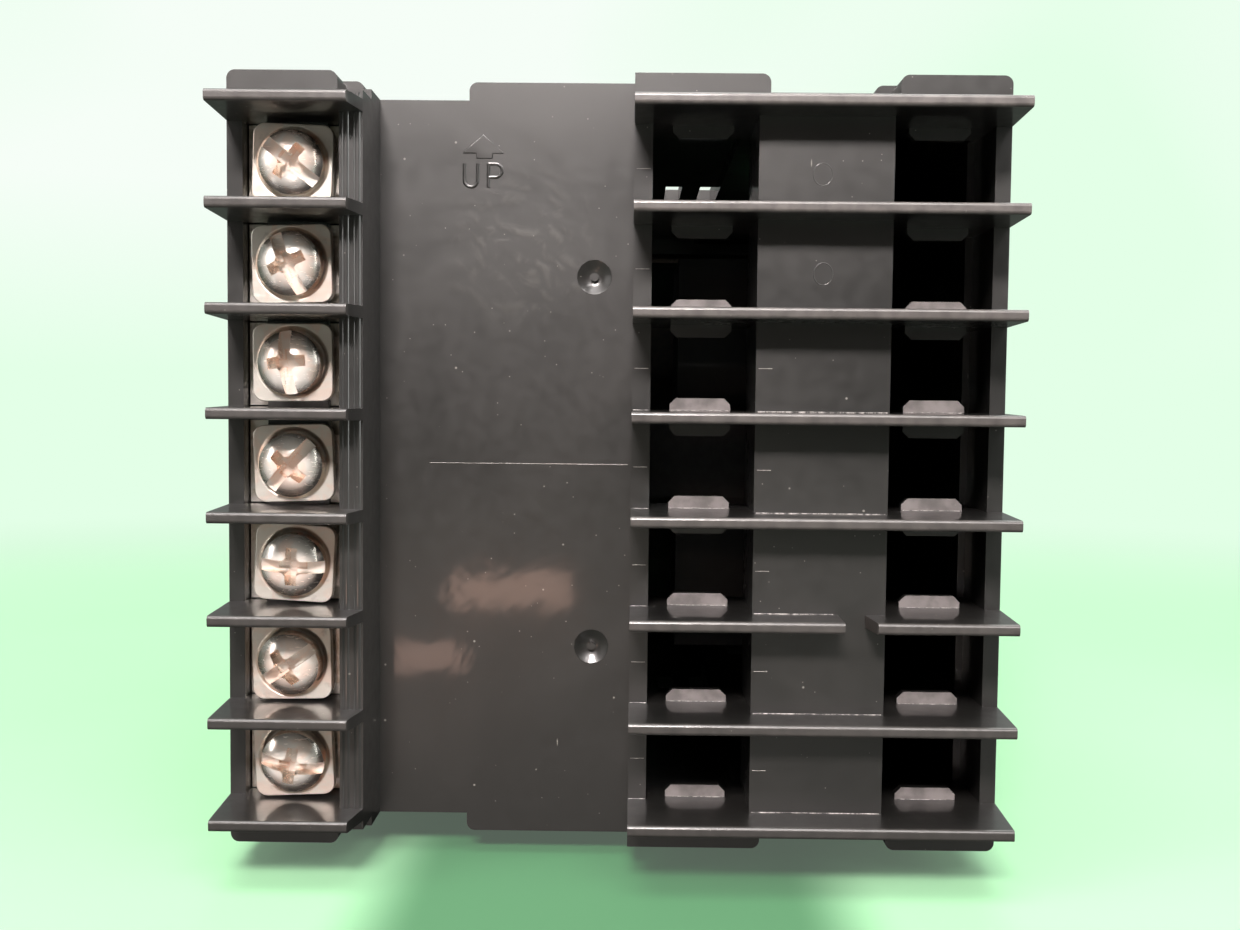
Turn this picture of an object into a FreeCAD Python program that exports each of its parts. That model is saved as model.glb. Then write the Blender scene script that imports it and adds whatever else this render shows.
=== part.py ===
"""Panel-mounting PID temperature controller, 72 mm square, with screw terminals at the rear.

The origin is the centre of the case flange's rear face, the face that meets the panel.
The front looks along -Y, the terminals look along +Y, and +Z is up. All sizes are millimetres.
"""
import FreeCAD, Part
import math
import os
import Sketcher

DRIVING_SIZES = [
    # front
    ("bezel_size", 72.0, "front bezel and case flange, across each side"),
    ("bezel_depth", 8.5, "bezel in front of the case flange"),
    ("bezel_corner", 3.0, "corner radius of bezel and flange"),
    ("bezel_bevel", 1.0, "bevel round the bezel's front"),
    ("bezel_front_wall", 2.5, "thickness of the bezel's front wall"),
    ("flange_thick", 2.5, "flange moulded round the mouth of the case"),
    ("skirt_width", 63.0, "bezel skirt that plugs into the case, across"),
    ("skirt_height", 59.8, "bezel skirt, top to bottom"),
    ("skirt_wall", 1.6, "wall of the skirt"),
    ("skirt_length", 8.0, "skirt inside the case"),
    ("hook_width", 8.0, "snap hook on the skirt, across"),
    ("hook_length", 3.0, "snap hook, front to rear"),
    ("hook_start", 4.0, "snap hook behind the flange face"),
    ("hook_bite", 0.9, "how far a hook reaches into the case wall"),
    # window and display
    ("window_width", 54.0, "display window"),
    ("window_height", 36.0, "display window"),
    ("window_middle", 12.0, "height of the window's centre"),
    ("window_thick", 1.2, "display window"),
    ("window_setback", 0.3, "window behind the bezel's front face"),
    ("window_ledge", 1.5, "ledge that the window is seated on"),
    ("board_thick", 1.6, "all circuit boards"),
    ("display_width", 59.0, "display board"),
    ("display_height", 55.8, "display board"),
    ("display_setback", 8.6, "display board's front face behind the bezel's front face"),
    ("post_size", 3.0, "square bezel posts that carry the display board"),
    ("post_across", 27.8, "posts from the middle, across"),
    ("post_up", 24.5, "posts from the middle, up"),
    ("module_thick", 5.6, "digit modules"),
    ("pv_width", 44.0, "upper digit module"),
    ("pv_height", 16.0, "upper digit module"),
    ("pv_middle", 19.0, "height of the upper digit module"),
    ("sv_width", 34.0, "lower digit module"),
    ("sv_height", 10.5, "lower digit module"),
    ("sv_middle", 4.2, "height of the lower digit module"),
    ("sv_across", 5.0, "lower digit module, to the right"),
    ("lamp_width", 4.0, "indicator lamp"),
    ("lamp_height", 1.8, "indicator lamp"),
    ("lamp_thick", 4.0, "indicator lamp"),
    ("lamp_spacing", 2.9, "indicator lamps, centre to centre"),
    ("lamp_across", -18.5, "column of indicator lamps"),
    # keys
    ("key_width", 10.6, "key cap"),
    ("key_height", 7.2, "key cap"),
    ("key_corner", 1.0, "corner radius of a key cap"),
    ("key_bevel", 0.3, "bevel round the front of a key cap"),
    ("key_spacing", 13.0, "keys, centre to centre"),
    ("key_level", -20.0, "height of the row of keys"),
    ("key_proud", 0.6, "key cap in front of the bezel"),
    ("key_gap", 0.2, "gap round a key"),
    ("key_lip", 0.8, "lip that keeps a key in the bezel"),
    ("key_lip_thick", 0.8, "lip that keeps a key in the bezel"),
    ("key_seat_gap", 0.1, "lip behind the bezel's front wall"),
    ("switch_size", 6.0, "push switch"),
    ("switch_height", 3.5, "push switch"),
    ("plunger_size", 3.0, "square plunger of a push switch"),
    ("plunger_rise", 0.7, "plunger in front of its switch"),
    ("plunger_depth", 1.3, "plunger inside its switch"),
    ("plunger_gap", 0.06, "running clearance of a plunger"),
    ("plunger_room", 0.6, "free depth behind a plunger"),
    # case
    ("case_size", 67.5, "case, across each side"),
    ("case_wall", 2.0, "wall of the case"),
    ("case_corner", 0.75, "corner radius of the case rails"),
    ("body_length", 89.3, "flange face to the rear panel"),
    ("rail_half", 13.3, "middle rail on top and bottom, from the middle"),
    ("channel_edge", 22.65, "outer edge of a bracket channel"),
    ("channel_depth", 1.6, "bracket channels in top and bottom"),
    ("vent_width", 2.0, "ventilation slot"),
    ("vent_length", 14.0, "ventilation slot"),
    ("vent_spacing", 4.2, "ventilation slots, centre to centre"),
    ("vent_count", 6, "ventilation slots in a row"),
    ("vent_start", 34.0, "front end of the first row of slots"),
    ("bracket_slot_width", 5.0, "slot for the hook of a mounting bracket"),
    ("bracket_slot_length", 6.0, "slot for the hook of a mounting bracket"),
    ("bracket_slot_start", 20.0, "bracket slot behind the flange face"),
    # terminal blocks
    ("rows", 7, "terminal rows"),
    ("row_pitch", 8.57, "terminal rows, centre to centre"),
    ("block_rise", 3.75, "block walls behind the rear panel"),
    ("rib_rise", 6.95, "ribs behind the block walls"),
    ("rib_root", 1.15, "rib thickness at the block walls"),
    ("rib_tip", 0.95, "rib thickness at its rear edge"),
    ("rib_round", 0.3, "rounding of the ribs' rear edges"),
    ("rib_end_draft", 0.35, "how far the rib ends lean in towards the rear"),
    ("side_wall", 1.35, "outer wall of a terminal bay"),
    ("wired_wall", 2.0, "inner wall of the wired block"),
    ("wired_edge", 21.25, "inner face of the wired block"),
    ("wired_wall_drop", 3.5, "inner wall's rear face in front of the rib edges"),
    ("wired_wall_half", 31.3, "half height of the inner wall"),
    ("wired_rib_slant", 0.65, "how far the inner rib ends lean out"),
    ("spare_edge", 1.4, "inner face of the spare block"),
    ("spare_wall", 1.6, "inner wall of the spare block"),
    ("middle_wall_inner", 11.8, "near face of the wall between the spare columns"),
    ("middle_wall_outer", 23.1, "far face of the wall between the spare columns"),
    ("middle_wall_drop", 3.7, "middle wall's rear face in front of the rib edges"),
    ("rail_outer_edge", 24.18, "inner edge of the outer rails on the blocks"),
    ("rail_inner_edge", 13.06, "outer edge of the middle rail on the spare block"),
    ("gap_near", 19.1, "near end of the gap in the sixth rib"),
    ("gap_far", 21.4, "far end of the gap at its foot"),
    ("gap_far_lean", 0.43, "how far the gap's far end leans out"),
    ("gap_row", 5, "which rib has the gap, counted from the top from 0"),
    ("tab_width", 5.3, "stop tab on a rib"),
    ("tab_rise", 1.07, "stop tab above its rib"),
    ("tab_corner", 0.55, "cut corner of a stop tab"),
    ("tab_thick", 0.8, "stop tab, front to rear"),
    ("tab_drop", 0.75, "stop tab's rear face in front of the block walls"),
    ("tab_spare_near", 7.35, "centre of the near column of tabs in the spare block"),
    ("tab_spare_far", 27.75, "centre of the far column of tabs in the spare block"),
    ("gate_radius", 1.55, "dimple at a moulding gate"),
    ("gate_depth", 0.45, "dimple at a moulding gate"),
    ("gate_across", 2.05, "dimples from the middle, across"),
    ("gate_up", 16.65, "dimples from the middle, up"),
    ("gate_nub", 0.35, "radius of the torn gate in a dimple"),
    ("gate_nub_drop", 0.1, "torn gate's end in front of the panel's face"),
    # terminals
    ("thread_radius", 1.45, "terminal screw shank"),
    ("thread_gap", 0.05, "running clearance of the shank in its plate"),
    ("screw_length", 8.0, "terminal screw under its head"),
    ("head_radius", 2.72, "terminal screw head"),
    ("head_height", 1.9, "terminal screw head"),
    ("head_gap", 0.05, "head above the bottom of its washer's dish"),
    ("slot_width", 0.8, "slot in the head"),
    ("slot_depth", 1.0, "slot in the head"),
    ("cross_length", 3.8, "cross recess in the head"),
    ("cross_width", 1.1, "cross recess in the head"),
    ("cross_depth", 1.3, "cross recess in the head"),
    ("washer_size", 6.9, "square washer"),
    ("washer_thick", 0.8, "square washer"),
    ("washer_corner", 0.7, "cut corner of a washer"),
    ("washer_lift", 0.8, "washer off its plate, as the screws are left loose"),
    ("dish_radius", 3.1, "dish in a washer"),
    ("dish_depth", 0.4, "dish in a washer"),
    ("washer_bore_gap", 0.12, "washer hole round the shank"),
    ("plate_thick", 1.0, "terminal plate"),
    ("plate_play", 0.1, "terminal plate in its bay, at each side"),
    ("plate_seat_gap", 0.05, "terminal plate in front of the tabs"),
    ("land_height", 4.8, "raised land between the tabs"),
    ("land_width", 7.6, "raised land"),
    ("land_proud", 0.2, "land behind the tabs' rear faces"),
    ("tail_thick", 0.8, "solder tail of a terminal plate"),
    ("tail_width", 3.0, "solder tail of a terminal plate"),
    ("tail_length", 20.0, "solder tail in front of its plate"),
    # boards and what they carry
    ("board_height", 56.0, "long boards, top to bottom"),
    ("board_rear", 78.0, "rear edge of the long boards"),
    ("tail_gap", 0.1, "board to the tails beside it"),
    ("guide_width", 1.2, "guide ribs in the case"),
    ("guide_gap", 0.15, "board in its guide"),
    ("guide_reach", 1.1, "how far the guides cover the board's edge"),
    ("guide_start", 10.0, "front end of the guides"),
    ("guide_end_gap", 2.0, "guides stop in front of the contact strip"),
    ("strip_depth", 2.95, "contact strip off the board"),
    ("strip_length", 10.0, "contact strip, front to rear"),
    ("strip_slot_gap", 0.15, "slot round a tail"),
    ("spacer_length", 4.0, "rear spacer, front to rear"),
    ("spacer_height", 8.0, "rear spacer"),
    ("spacer_start", 72.0, "rear spacer behind the flange face"),
    ("transformer_depth", 21.0, "transformer core off its board"),
    ("transformer_length", 26.0, "transformer core, front to rear"),
    ("transformer_height", 30.0, "transformer core"),
    ("transformer_start", 14.0, "transformer behind the flange face"),
    ("coil_overhang", 2.5, "winding beyond the core at each end"),
    ("coil_height", 18.0, "winding"),
    ("coil_base", 3.0, "winding off the board"),
    ("relay_depth", 15.3, "relay off its board"),
    ("relay_length", 16.0, "relay, front to rear"),
    ("relay_height", 19.0, "relay"),
    ("relay_start", 50.0, "relays behind the flange face"),
    ("relay_gap", 4.0, "between the two relays"),
    ("capacitor_radius", 6.25, "smoothing capacitor"),
    ("capacitor_length", 18.0, "smoothing capacitor"),
    ("capacitor_place", 26.0, "capacitor behind the flange face"),
    ("capacitor_level", -14.0, "height of the capacitor"),
    ("chip_size", 14.0, "processor"),
    ("chip_thick", 1.4, "processor"),
    ("chip_place", 42.0, "processor behind the flange face"),
    ("chip_level", 8.0, "height of the processor"),
]

# the way each terminal screw's slot was left, in degrees from level
SLOT_ANGLES = (-39, -66, -84, 48, -3, 34, -10)

# cutting shapes run this far past the surface that they open
PAST = 1.0


class Size:
    """A length that keeps the spreadsheet formula it was worked out with."""

    def __init__(self, number, formula):
        self.number = number
        self.formula = formula

    def joined(self, sign, other, number):
        return Size(number, "(%s %s %s)" % (self.formula, sign, size(other).formula))

    def __add__(self, other):
        return self.joined("+", other, self.number + size(other).number)

    def __sub__(self, other):
        return self.joined("-", other, self.number - size(other).number)

    def __mul__(self, other):
        return self.joined("*", other, self.number * size(other).number)

    def __truediv__(self, other):
        return self.joined("/", other, self.number / size(other).number)

    def __neg__(self):
        return Size(-self.number, "(0 - %s)" % self.formula)

    def __radd__(self, other):
        return size(other) + self

    def __rsub__(self, other):
        return size(other) - self

    def __rmul__(self, other):
        return size(other) * self


def size(value):
    """Give a plain number the same form as a size from the sheet."""
    if isinstance(value, Size):
        return value
    return Size(float(value), "%.6g" % value)


class Sizes:
    """The driving sizes by name, each backed by a cell of the spreadsheet."""

    def __init__(self, document):
        sheet = document.addObject("Spreadsheet::Sheet", "sizes")
        for index, (name, value, note) in enumerate(DRIVING_SIZES):
            row = index + 1
            sheet.set("A%d" % row, note)
            sheet.set("B%d" % row, "%g" % value)
            sheet.setAlias("B%d" % row, name)
            setattr(self, name, Size(float(value), "sizes." + name))
        document.recompute()


DOCUMENT = FreeCAD.newDocument("controller")
S = Sizes(DOCUMENT)
NODES = {}


# ---- drawing helpers ---------------------------------------------------------------------

AXIS_SIGN = {"XY": 1, "YZ": 1, "XZ": -1}


def origin_feature(body, role):
    return [item for item in body.Origin.OriginFeatures if item.Role == role][0]


def new_body(label):
    body = DOCUMENT.addObject("PartDesign::Body", label)
    body.Label = label
    NODES[label] = body
    return body


def rectangle(left, right, low, high):
    return [(left, low), (right, low), (right, high), (left, high)]


def towards(corner, other, distance):
    """The point at a distance from a corner, along the level or upright edge to another."""
    point = []
    for here, there in zip(corner[:2], other[:2]):
        gap = size(there).number - size(here).number
        way = 0 if abs(gap) < 0.000001 else math.copysign(1, gap)
        point.append(here + distance * way)
    return tuple(point)


def rounded(corners):
    """An outline whose corners with a third value are arcs of that radius, drawn anticlockwise.
    In the outline itself, a third value on a point bends the edge that starts there."""
    outline = []
    for index, corner in enumerate(corners):
        if len(corner) == 2:
            outline.append(corner)
            continue
        radius = corner[2]
        outline.append(towards(corner, corners[index - 1], radius) + (radius,))
        outline.append(towards(corner, corners[(index + 1) % len(corners)], radius))
    return outline


def rounded_rectangle(left, right, low, high, radius):
    return rounded([(left, low, radius), (right, low, radius), (right, high, radius),
                    (left, high, radius)])


def cut_corner_rectangle(left, right, low, high, cut):
    return [(left + cut, low), (right - cut, low), (right, low + cut), (right, high - cut),
            (right - cut, high), (left + cut, high), (left, high - cut), (left, low + cut)]


def square(across, up, width):
    return rectangle(across - width / 2, across + width / 2, up - width / 2, up + width / 2)


def circle(across, up, radius):
    return ("circle", across, up, radius)


def bind_constraint(sketch, constraint, name, value):
    index = sketch.addConstraint(constraint)
    sketch.renameConstraint(index, name)
    sketch.setExpression("Constraints." + name, value.formula)


def draw_circle(sketch, tag, shape):
    across, up, radius = (size(value) for value in shape[1:])
    centre = FreeCAD.Vector(across.number, up.number, 0)
    edge = sketch.addGeometry(Part.Circle(centre, FreeCAD.Vector(0, 0, 1), radius.number), False)
    bind_constraint(sketch, Sketcher.Constraint("DistanceX", -1, 1, edge, 3, across.number), tag + "x", across)
    bind_constraint(sketch, Sketcher.Constraint("DistanceY", -1, 1, edge, 3, up.number), tag + "y", up)
    bind_constraint(sketch, Sketcher.Constraint("Radius", edge, radius.number), tag + "r", radius)


def corner_arc(start, end, radius):
    """The shorter arc from start to end that bulges to the right of the way, as on an
    outline drawn anticlockwise."""
    chord = end - start
    middle = (start + end) * 0.5
    across = FreeCAD.Vector(-chord.y, chord.x, 0).normalize()
    to_centre = math.sqrt(max(radius ** 2 - (chord.Length / 2) ** 2, 0))
    top = middle + across * (to_centre - radius)
    return Part.Arc(start, top, end)


def draw_outline(sketch, tag, points):
    places = [(size(point[0]), size(point[1])) for point in points]
    vectors = [FreeCAD.Vector(x.number, y.number, 0) for x, y in places]
    starts, ends = [], []
    for index, point in enumerate(points):
        start, end = vectors[index], vectors[(index + 1) % len(points)]
        if len(point) == 3:
            radius = size(point[2])
            edge = sketch.addGeometry(corner_arc(start, end, radius.number), False)
            held = sketch.getPoint(edge, 1)
            turned = (held - start).Length > (held - end).Length
            starts.append((edge, 2 if turned else 1))
            ends.append((edge, 1 if turned else 2))
            bind_constraint(sketch, Sketcher.Constraint("Radius", edge, radius.number),
                            "%sr%d" % (tag, index), radius)
        else:
            edge = sketch.addGeometry(Part.LineSegment(start, end), False)
            starts.append((edge, 1))
            ends.append((edge, 2))
    for index, (x, y) in enumerate(places):
        edge, point = starts[index]
        before = ends[index - 1]
        sketch.addConstraint(Sketcher.Constraint("Coincident", before[0], before[1], edge, point))
        bind_constraint(sketch, Sketcher.Constraint("DistanceX", -1, 1, edge, point, x.number),
                        "%sx%d" % (tag, index), x)
        bind_constraint(sketch, Sketcher.Constraint("DistanceY", -1, 1, edge, point, y.number),
                        "%sy%d" % (tag, index), y)


def new_sketch(body, plane, offset, shapes):
    sketch = body.newObject("Sketcher::SketchObject", body.Label + "_sketch")
    sketch.AttachmentSupport = (origin_feature(body, plane + "_Plane"), [""])
    sketch.MapMode = "FlatFace"
    lift = offset * AXIS_SIGN[plane]
    sketch.setExpression("AttachmentOffset.Base.z", lift.formula)
    for index, shape in enumerate(shapes):
        tag = "abcdefghijklmnop"[index]
        if shape[0] == "circle":
            draw_circle(sketch, tag, shape)
        else:
            draw_outline(sketch, tag, shape)
    return sketch


def sketched_feature(kind, body, plane, base, length, shapes):
    sketch = new_sketch(body, plane, size(base), shapes)
    feature = body.newObject("PartDesign::" + kind, body.Label + "_" + kind.lower())
    feature.Profile = sketch
    feature.Length = size(length).number
    feature.setExpression("Length", size(length).formula)
    return feature


def pad(body, plane, low, high, shapes):
    """Add the shapes between two levels along the plane's axis."""
    base = low if AXIS_SIGN[plane] > 0 else high
    return sketched_feature("Pad", body, plane, base, size(high) - low, shapes)


def pocket(body, plane, low, high, shapes):
    """Remove the shapes between two levels along the plane's axis."""
    base = high if AXIS_SIGN[plane] > 0 else low
    return sketched_feature("Pocket", body, plane, base, size(high) - low, shapes)


def repeat(body, feature, axis, spacing, count):
    """Repeat a feature along an axis, towards its positive end."""
    pattern = body.newObject("PartDesign::LinearPattern", body.Label + "_pattern")
    pattern.Originals = [feature]
    pattern.Direction = (origin_feature(body, axis + "_Axis"), [""])
    pattern.Mode = "Spacing"
    pattern.setExpression("Offset", size(spacing).formula)
    pattern.setExpression("Occurrences", size(count).formula)
    body.Tip = pattern
    return pattern


def bevel_edges(body, wanted, width):
    """Bevel the edges that the test picks."""
    DOCUMENT.recompute()
    edges = ["Edge%d" % (index + 1) for index, edge in enumerate(body.Shape.Edges) if wanted(edge)]
    sharp = body.Tip
    chamfer = body.newObject("PartDesign::Chamfer", body.Label + "_bevel")
    chamfer.Base = (sharp, edges)
    chamfer.Size = size(width).number
    chamfer.setExpression("Size", size(width).formula)
    body.Tip = chamfer
    return chamfer


def lies_at(place):
    """A test for edges that lie whole in the plane at this place on the Y axis."""
    def test(edge):
        box = edge.BoundBox
        return abs(box.YMin - place.number) < 0.001 and abs(box.YMax - place.number) < 0.001
    return test


def bind(item, values):
    for name, value in values.items():
        item.setExpression(name, size(value).formula)


def block(label, left, right, front, rear, low, high):
    """A plain box between its six faces."""
    item = DOCUMENT.addObject("Part::Box", label)
    bind(item, {"Length": size(right) - left, "Width": size(rear) - front, "Height": size(high) - low,
                "Placement.Base.x": left, "Placement.Base.y": front, "Placement.Base.z": low})
    return item


def square_bar(label, across, up, front, rear, width):
    """A bar of square section that runs from front to rear."""
    half = width / 2
    return block(label, across - half, across + half, front, rear, up - half, up + half)


def cylinder_along_x(label, left, right, place, up, radius):
    item = DOCUMENT.addObject("Part::Cylinder", label)
    item.Placement.Rotation = FreeCAD.Rotation(FreeCAD.Vector(0, 1, 0), 90)
    bind(item, {"Radius": radius, "Height": size(right) - left,
                "Placement.Base.x": left, "Placement.Base.y": place, "Placement.Base.z": up})
    return item


def joined(label, pieces):
    item = DOCUMENT.addObject("Part::MultiFuse", label)
    item.Shapes = pieces
    item.Refine = True
    return item


def cut_from(label, base, tool):
    item = DOCUMENT.addObject("Part::Cut", label)
    item.Base = base
    item.Tool = tool
    return item


def node(label, item):
    item.Label = label
    NODES[label] = item
    return item


# ---- places that several pieces share ------------------------------------------------------

CASE_HALF = S.case_size / 2
BEZEL_HALF = S.bezel_size / 2
CHANNEL_LEVEL = CASE_HALF - S.channel_depth
BEZEL_FRONT = -(S.flange_thick + S.bezel_depth)
BEZEL_WALL_REAR = BEZEL_FRONT + S.bezel_front_wall
DISPLAY_FRONT = BEZEL_FRONT + S.display_setback
DISPLAY_REAR = DISPLAY_FRONT + S.board_thick
CAVITY_HALF = CASE_HALF - S.case_wall
CAVITY_CHANNEL = CHANNEL_LEVEL - S.case_wall
CAVITY_REAR = S.body_length - S.case_wall
WALL_REAR = S.body_length + S.block_rise
RIB_REAR = WALL_REAR + S.rib_rise
STACK_HALF = S.row_pitch * S.rows / 2
BAY_HEIGHT = S.row_pitch - S.rib_root
WIRED_BAY_NEAR = S.wired_edge + S.wired_wall
BAY_OUTER = CASE_HALF - S.side_wall
WIRED_CENTRE = (WIRED_BAY_NEAR + BAY_OUTER) / 2
SPARE_BAY_NEAR = S.spare_edge + S.spare_wall
TAB_REAR = WALL_REAR - S.tab_drop
TAB_FRONT = TAB_REAR - S.tab_thick
PLATE_REAR = TAB_FRONT - S.plate_seat_gap
PLATE_FRONT = PLATE_REAR - S.plate_thick
LAND_REAR = TAB_REAR + S.land_proud
WASHER_FRONT = LAND_REAR + S.washer_lift
WASHER_REAR = WASHER_FRONT + S.washer_thick
HEAD_FRONT = WASHER_REAR - S.dish_depth + S.head_gap
HEAD_REAR = HEAD_FRONT + S.head_height
TAIL_INNER = WIRED_BAY_NEAR + S.plate_play
TAIL_OUTER = TAIL_INNER + S.tail_thick
TAIL_FRONT = PLATE_FRONT - S.tail_length
MAIN_OUTER = TAIL_INNER - S.tail_gap
MAIN_INNER = MAIN_OUTER - S.board_thick
BOARD_HALF = S.board_height / 2


def row_level(index):
    """Height of a terminal row's centre, counted from the top from 0."""
    return STACK_HALF - S.row_pitch * (index + 0.5)


# ---- the case ------------------------------------------------------------------------------

def mirrored(corners):
    """The same corners on the other side of the middle, kept anticlockwise."""
    return [(-corner[0],) + corner[1:] for corner in reversed(corners)]


def half_turned(corners):
    return [(-corner[0], -corner[1]) + corner[2:] for corner in corners]


def channelled_outline(half, rail, edge, level, radius=None):
    """Square outline with two bracket channels in the top and two in the bottom."""
    soft = () if radius is None else (radius,)
    right_top = [(half, half) + soft, (edge, half) + soft, (edge, level), (rail, level),
                 (rail, half) + soft]
    top = right_top + mirrored(right_top)
    return rounded(top + half_turned(top))


def make_case():
    case = new_body("case")
    pad(case, "XZ", 0, S.body_length,
        [channelled_outline(CASE_HALF, S.rail_half, S.channel_edge, CHANNEL_LEVEL, S.case_corner)])
    pad(case, "XZ", -S.flange_thick, 0,
        [rounded_rectangle(-BEZEL_HALF, BEZEL_HALF, -BEZEL_HALF, BEZEL_HALF, S.bezel_corner)])
    add_terminal_blocks(case)
    pocket(case, "XZ", -S.flange_thick, CAVITY_REAR,
           [channelled_outline(CAVITY_HALF, S.rail_half - S.case_wall, S.channel_edge + S.case_wall,
                               CAVITY_CHANNEL)])
    add_guides(case)
    cut_bays(case)
    add_tabs(case)
    add_ribs(case)
    cut_gates(case)
    cut_vents(case)


def add_terminal_blocks(case):
    edge, inner, radius = S.rail_outer_edge, S.rail_inner_edge, S.case_corner
    wired_top = [(CASE_HALF, CASE_HALF, radius), (edge, CASE_HALF, radius), (edge, CHANNEL_LEVEL),
                 (S.wired_edge, CHANNEL_LEVEL)]
    wired_bottom = [(x, -CHANNEL_LEVEL) for x in (S.wired_edge, edge)]
    wired_bottom += [(edge, -CASE_HALF, radius), (CASE_HALF, -CASE_HALF, radius)]
    spare_top = [(-S.spare_edge, CASE_HALF), (-inner, CASE_HALF, radius), (-inner, CHANNEL_LEVEL),
                 (-edge, CHANNEL_LEVEL), (-edge, CASE_HALF, radius), (-CASE_HALF, CASE_HALF, radius)]
    spare_bottom = mirrored(half_turned(spare_top))
    pad(case, "XZ", S.body_length, WALL_REAR,
        [rounded(wired_top + wired_bottom), rounded(spare_top + spare_bottom)])
    pad(case, "XZ", WALL_REAR, RIB_REAR - S.wired_wall_drop,
        [rectangle(S.wired_edge, WIRED_BAY_NEAR, -S.wired_wall_half, S.wired_wall_half)])
    pad(case, "XZ", WALL_REAR, RIB_REAR - S.middle_wall_drop,
        [rectangle(-S.middle_wall_outer, -S.middle_wall_inner, -STACK_HALF, STACK_HALF)])
    # the thick middle wall is cored from inside
    pocket(case, "XZ", CAVITY_REAR - PAST, RIB_REAR - S.middle_wall_drop - S.case_wall,
           [rectangle(-(S.middle_wall_outer - S.side_wall), -(S.middle_wall_inner + S.side_wall),
                      -(STACK_HALF - S.case_wall), STACK_HALF - S.case_wall)])


def add_guides(case):
    """Ribs inside the top and bottom that hold the edges of the two long boards."""
    tip = BOARD_HALF - S.guide_reach
    guides = []
    for inner_face in (MAIN_INNER, -MAIN_OUTER):
        outer_face = inner_face + S.board_thick
        for left in (inner_face - S.guide_gap - S.guide_width, outer_face + S.guide_gap):
            right = left + S.guide_width
            guides.append(rectangle(left, right, tip, CAVITY_CHANNEL + S.case_wall / 2))
            guides.append(rectangle(left, right, -CAVITY_CHANNEL - S.case_wall / 2, -tip))
    pad(case, "XZ", S.guide_start, S.board_rear - S.strip_length - S.guide_end_gap, guides)


def cut_bays(case):
    """Seven rows of three bays, open from the rear right into the case."""
    low = -STACK_HALF + S.rib_root / 2
    high = low + BAY_HEIGHT
    columns = [(WIRED_BAY_NEAR, BAY_OUTER), (-S.middle_wall_inner, -SPARE_BAY_NEAR),
               (-BAY_OUTER, -S.middle_wall_outer)]
    bays = pocket(case, "XZ", CAVITY_REAR - PAST, WALL_REAR + PAST,
                  [rectangle(left, right, low, high) for left, right in columns])
    repeat(case, bays, "Z", S.row_pitch, S.rows)


def add_tabs(case):
    """Stop tabs with cut corners, standing on each rib and hanging under the one above."""
    half = S.tab_width / 2
    floor = -STACK_HALF + S.rib_root / 2
    ceiling = floor + BAY_HEIGHT
    outlines = []
    for centre in (WIRED_CENTRE, -S.tab_spare_near, -S.tab_spare_far):
        for root, way in ((floor, 1), (ceiling, -1)):
            tip = root + S.tab_rise * way
            shoulder = tip - S.tab_corner * way
            sunk = root - S.rib_root / 4 * way
            outline = [(centre - half, sunk), (centre + half, sunk), (centre + half, shoulder),
                       (centre + half - S.tab_corner, tip), (centre - half + S.tab_corner, tip),
                       (centre - half, shoulder)]
            outlines.append(outline if way > 0 else outline[::-1])
    tabs = pad(case, "XZ", TAB_FRONT, TAB_REAR, outlines)
    repeat(case, tabs, "Z", S.row_pitch, S.rows)


def add_ribs(case):
    """Tapered ribs between the rows, shaped at their ends and cut once."""
    sunk = WALL_REAR - S.block_rise / 2
    level = -STACK_HALF
    root, tip, radius = S.rib_root / 2, S.rib_tip / 2, S.rib_round
    section = [(sunk, level - root), (WALL_REAR, level - root),
               (RIB_REAR - radius, level - tip, radius), (RIB_REAR, level - tip + radius),
               (RIB_REAR, level + tip - radius, radius), (RIB_REAR - radius, level + tip),
               (WALL_REAR, level + root), (sunk, level + root)]
    for left, right in ((S.wired_edge, CASE_HALF), (-CASE_HALF, -S.spare_edge)):
        rib = pad(case, "YZ", left, right, [section])
        repeat(case, rib, "Z", S.row_pitch, S.rows + 1)
    past = RIB_REAR + PAST
    beyond = CASE_HALF + PAST
    outer = [(CASE_HALF, WALL_REAR), (beyond, WALL_REAR), (beyond, past),
             (CASE_HALF - S.rib_end_draft, past), (CASE_HALF - S.rib_end_draft, RIB_REAR)]
    foot = RIB_REAR - S.wired_wall_drop
    lean = S.wired_edge + S.wired_rib_slant
    inner = [(S.wired_edge - PAST, foot), (S.wired_edge, foot), (lean, RIB_REAR), (lean, past),
             (S.wired_edge - PAST, past)]
    tall = CASE_HALF + PAST
    pocket(case, "XY", -tall, tall, [outer, inner, mirrored(outer)])
    gap_level = STACK_HALF - S.row_pitch * S.gap_row
    floor = RIB_REAR - S.middle_wall_drop
    gap = [(-(S.gap_far + S.gap_far_lean), RIB_REAR), (-S.gap_far, floor), (-S.gap_near, floor),
           (-S.gap_near, past), (-(S.gap_far + S.gap_far_lean), past)]
    pocket(case, "XY", gap_level - S.rib_root, gap_level + S.rib_root, [gap])


def cut_gates(case):
    """Two dimples in the rear panel, each with its torn moulding gate."""
    rear = S.body_length
    spots = [(S.gate_across, S.gate_up), (S.gate_across, -S.gate_up)]
    pocket(case, "XZ", rear - S.gate_depth, rear + PAST, [circle(x, z, S.gate_radius) for x, z in spots])
    pad(case, "XZ", rear - S.gate_depth - S.case_wall / 4, rear - S.gate_nub_drop,
        [circle(x, z, S.gate_nub) for x, z in spots])


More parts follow.
